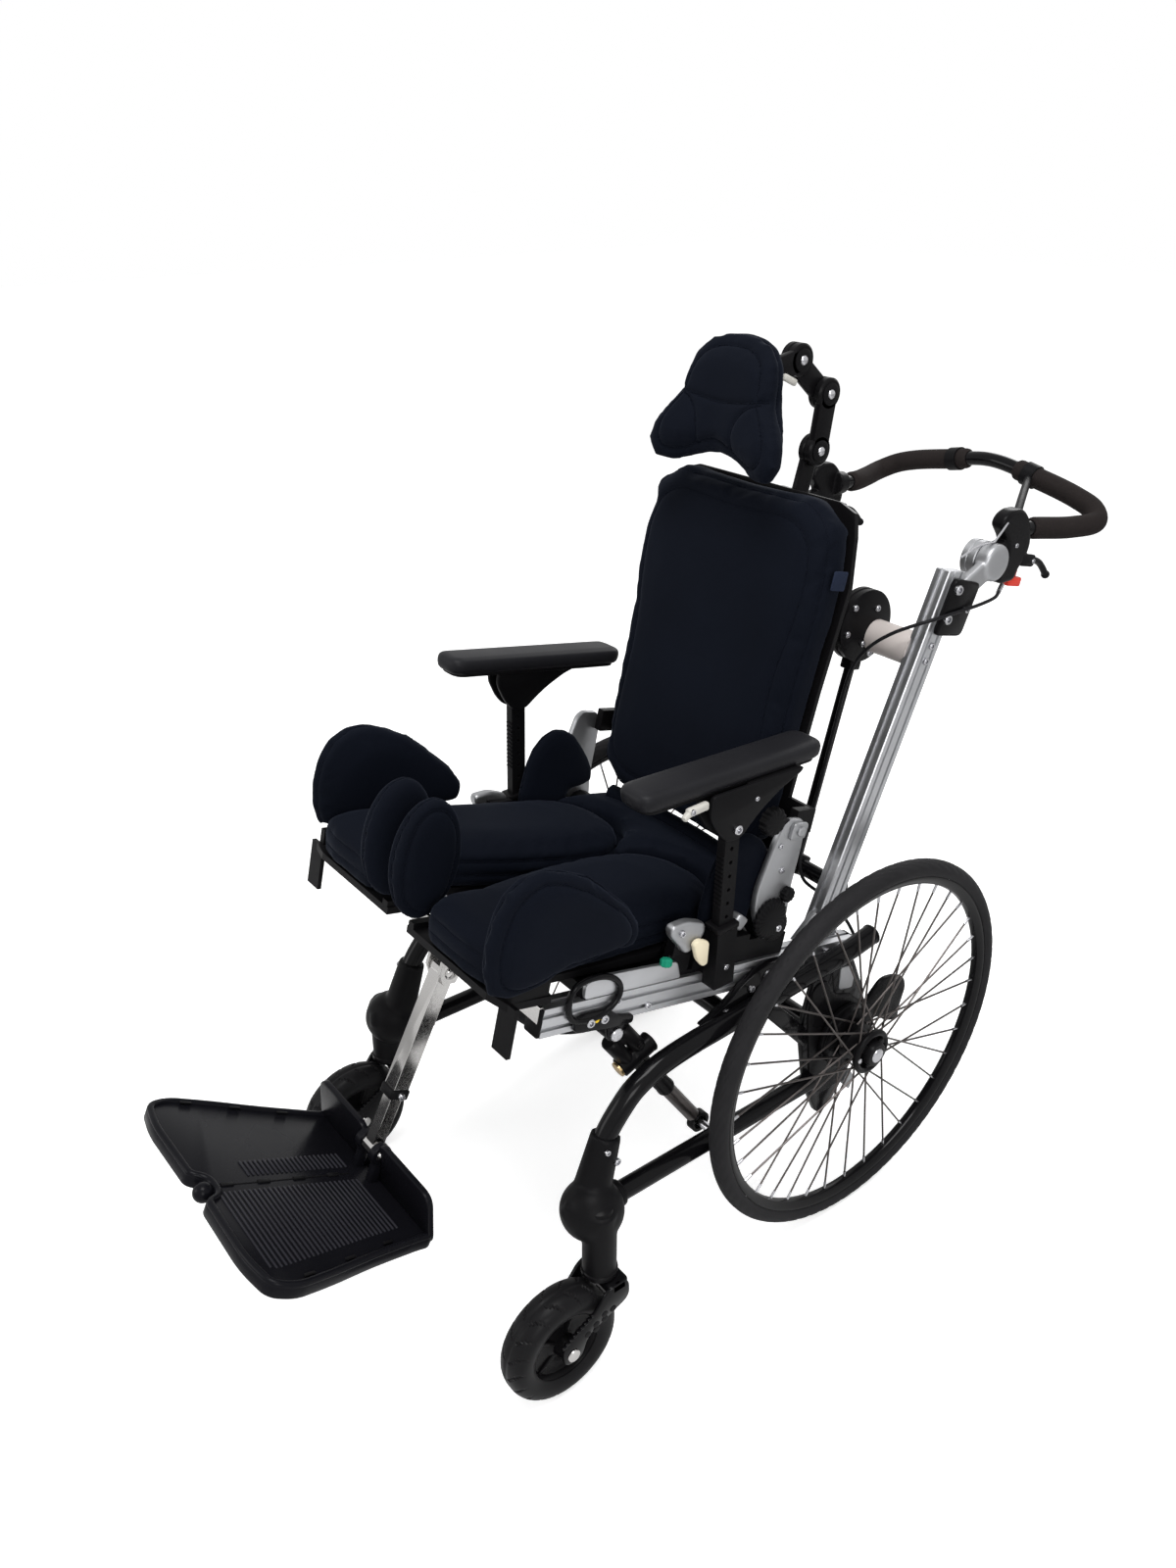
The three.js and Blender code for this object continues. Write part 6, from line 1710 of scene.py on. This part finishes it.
class WHEELCHAIR_OT_arm_supports(bpy.types.Operator):
    """Builds the arm pads, their brackets and the socket levers"""

    bl_idname = "wheelchair.arm_supports"
    bl_label = "Arm supports"

    def execute(self, context):
        for word, side, top, pitch in ARM_PADS:
            arm_support(word, side, top, pitch)
            arm_socket(word, side)
        return {"FINISHED"}


class WHEELCHAIR_OT_footrest(bpy.types.Operator):
    """Builds the footplate with its ribs and slots, and the pins of its posts"""

    bl_idname = "wheelchair.footrest"
    bl_label = "Footrest"

    def execute(self, context):
        footrest(context.scene.wheelchair_sizes)
        return {"FINISHED"}


class WHEELCHAIR_OT_frame_nodes(bpy.types.Operator):
    """Eases the edges of the frame's own parts and gives them their finishes"""

    bl_idname = "wheelchair.frame_nodes"
    bl_label = "Frame parts"

    def execute(self, context):
        finishes = {
            "extrusion": ("seat_rail_left", "seat_rail_right"),
            "nylon": ("seat_base", "arm_post_left", "arm_post_right", "thigh_support_left",
                      "thigh_support_right"),
            "satin_black": ("back_shell",),
            "chrome": ("front_bar", "foot_post", "foot_slide"),
        }
        given = {node: finish for finish, nodes in finishes.items() for node in nodes}
        for node, made in frame["nodes"].items():
            if made.hide_render:
                continue
            for slot in made.material_slots:
                slot.material = FINISHES[given[node]]
            join = made.modifiers.new("Join", "WELD")
            join.merge_threshold = MERGE_DISTANCE
            ease = made.modifiers.new("Ease", "BEVEL")
            ease.width = 0.7 * MM
            ease.segments = 2
            ease.limit_method = "ANGLE"
            ease.angle_limit = math.radians(35)
        return {"FINISHED"}


class WHEELCHAIR_OT_stage(bpy.types.Operator):
    """Lays the pale floor and sets the soft studio light"""

    bl_idname = "wheelchair.stage"
    bl_label = "Stage"

    def execute(self, context):
        context.scene.view_settings.view_transform = "Standard"
        make_floor(FLOOR_GLOW)
        make_world(WORLD_LEVEL)
        for name, place, height, size, watts in LAMPS:
            soft_lamp(name, place, (0, 0, height), size, watts)
        return {"FINISHED"}


class WHEELCHAIR_PT_panel(bpy.types.Panel):
    bl_label = "Tilt-in-space wheelchair"
    bl_idname = "WHEELCHAIR_PT_panel"
    bl_space_type = "VIEW_3D"
    bl_region_type = "UI"
    bl_category = "Wheelchair"

    def draw(self, context):
        for group in (context.scene.wheelchair_colours, context.scene.wheelchair_sizes):
            box = self.layout.box()
            for name in group.__annotations__:
                box.prop(group, name)
        for step in STEPS:
            self.layout.operator(step.bl_idname)


STEPS = (
    WHEELCHAIR_OT_camera,
    WHEELCHAIR_OT_finishes,
    WHEELCHAIR_OT_brake_cable,
    WHEELCHAIR_OT_cushions,
    WHEELCHAIR_OT_side_frames,
    WHEELCHAIR_OT_rear_wheels,
    WHEELCHAIR_OT_casters,
    WHEELCHAIR_OT_tilt_struts,
    WHEELCHAIR_OT_seat_frame,
    WHEELCHAIR_OT_push_handle,
    WHEELCHAIR_OT_head_links,
    WHEELCHAIR_OT_back_hardware,
    WHEELCHAIR_OT_arm_supports,
    WHEELCHAIR_OT_footrest,
    WHEELCHAIR_OT_frame_nodes,
    WHEELCHAIR_OT_stage,
)
CLASSES = (WheelchairColours, WheelchairSizes, *STEPS, WHEELCHAIR_PT_panel)


def register():
    for cls in CLASSES:
        bpy.utils.register_class(cls)
    bpy.types.Scene.wheelchair_colours = PointerProperty(type=WheelchairColours)
    bpy.types.Scene.wheelchair_sizes = PointerProperty(type=WheelchairSizes)


def unregister():
    del bpy.types.Scene.wheelchair_sizes
    del bpy.types.Scene.wheelchair_colours
    for cls in reversed(CLASSES):
        bpy.utils.unregister_class(cls)


def main():
    register()
    for step in STEPS:
        getattr(bpy.ops.wheelchair, step.bl_idname.split(".")[1])()
    bpy.context.view_layer.update()


if __name__ == "__main__":
    main()
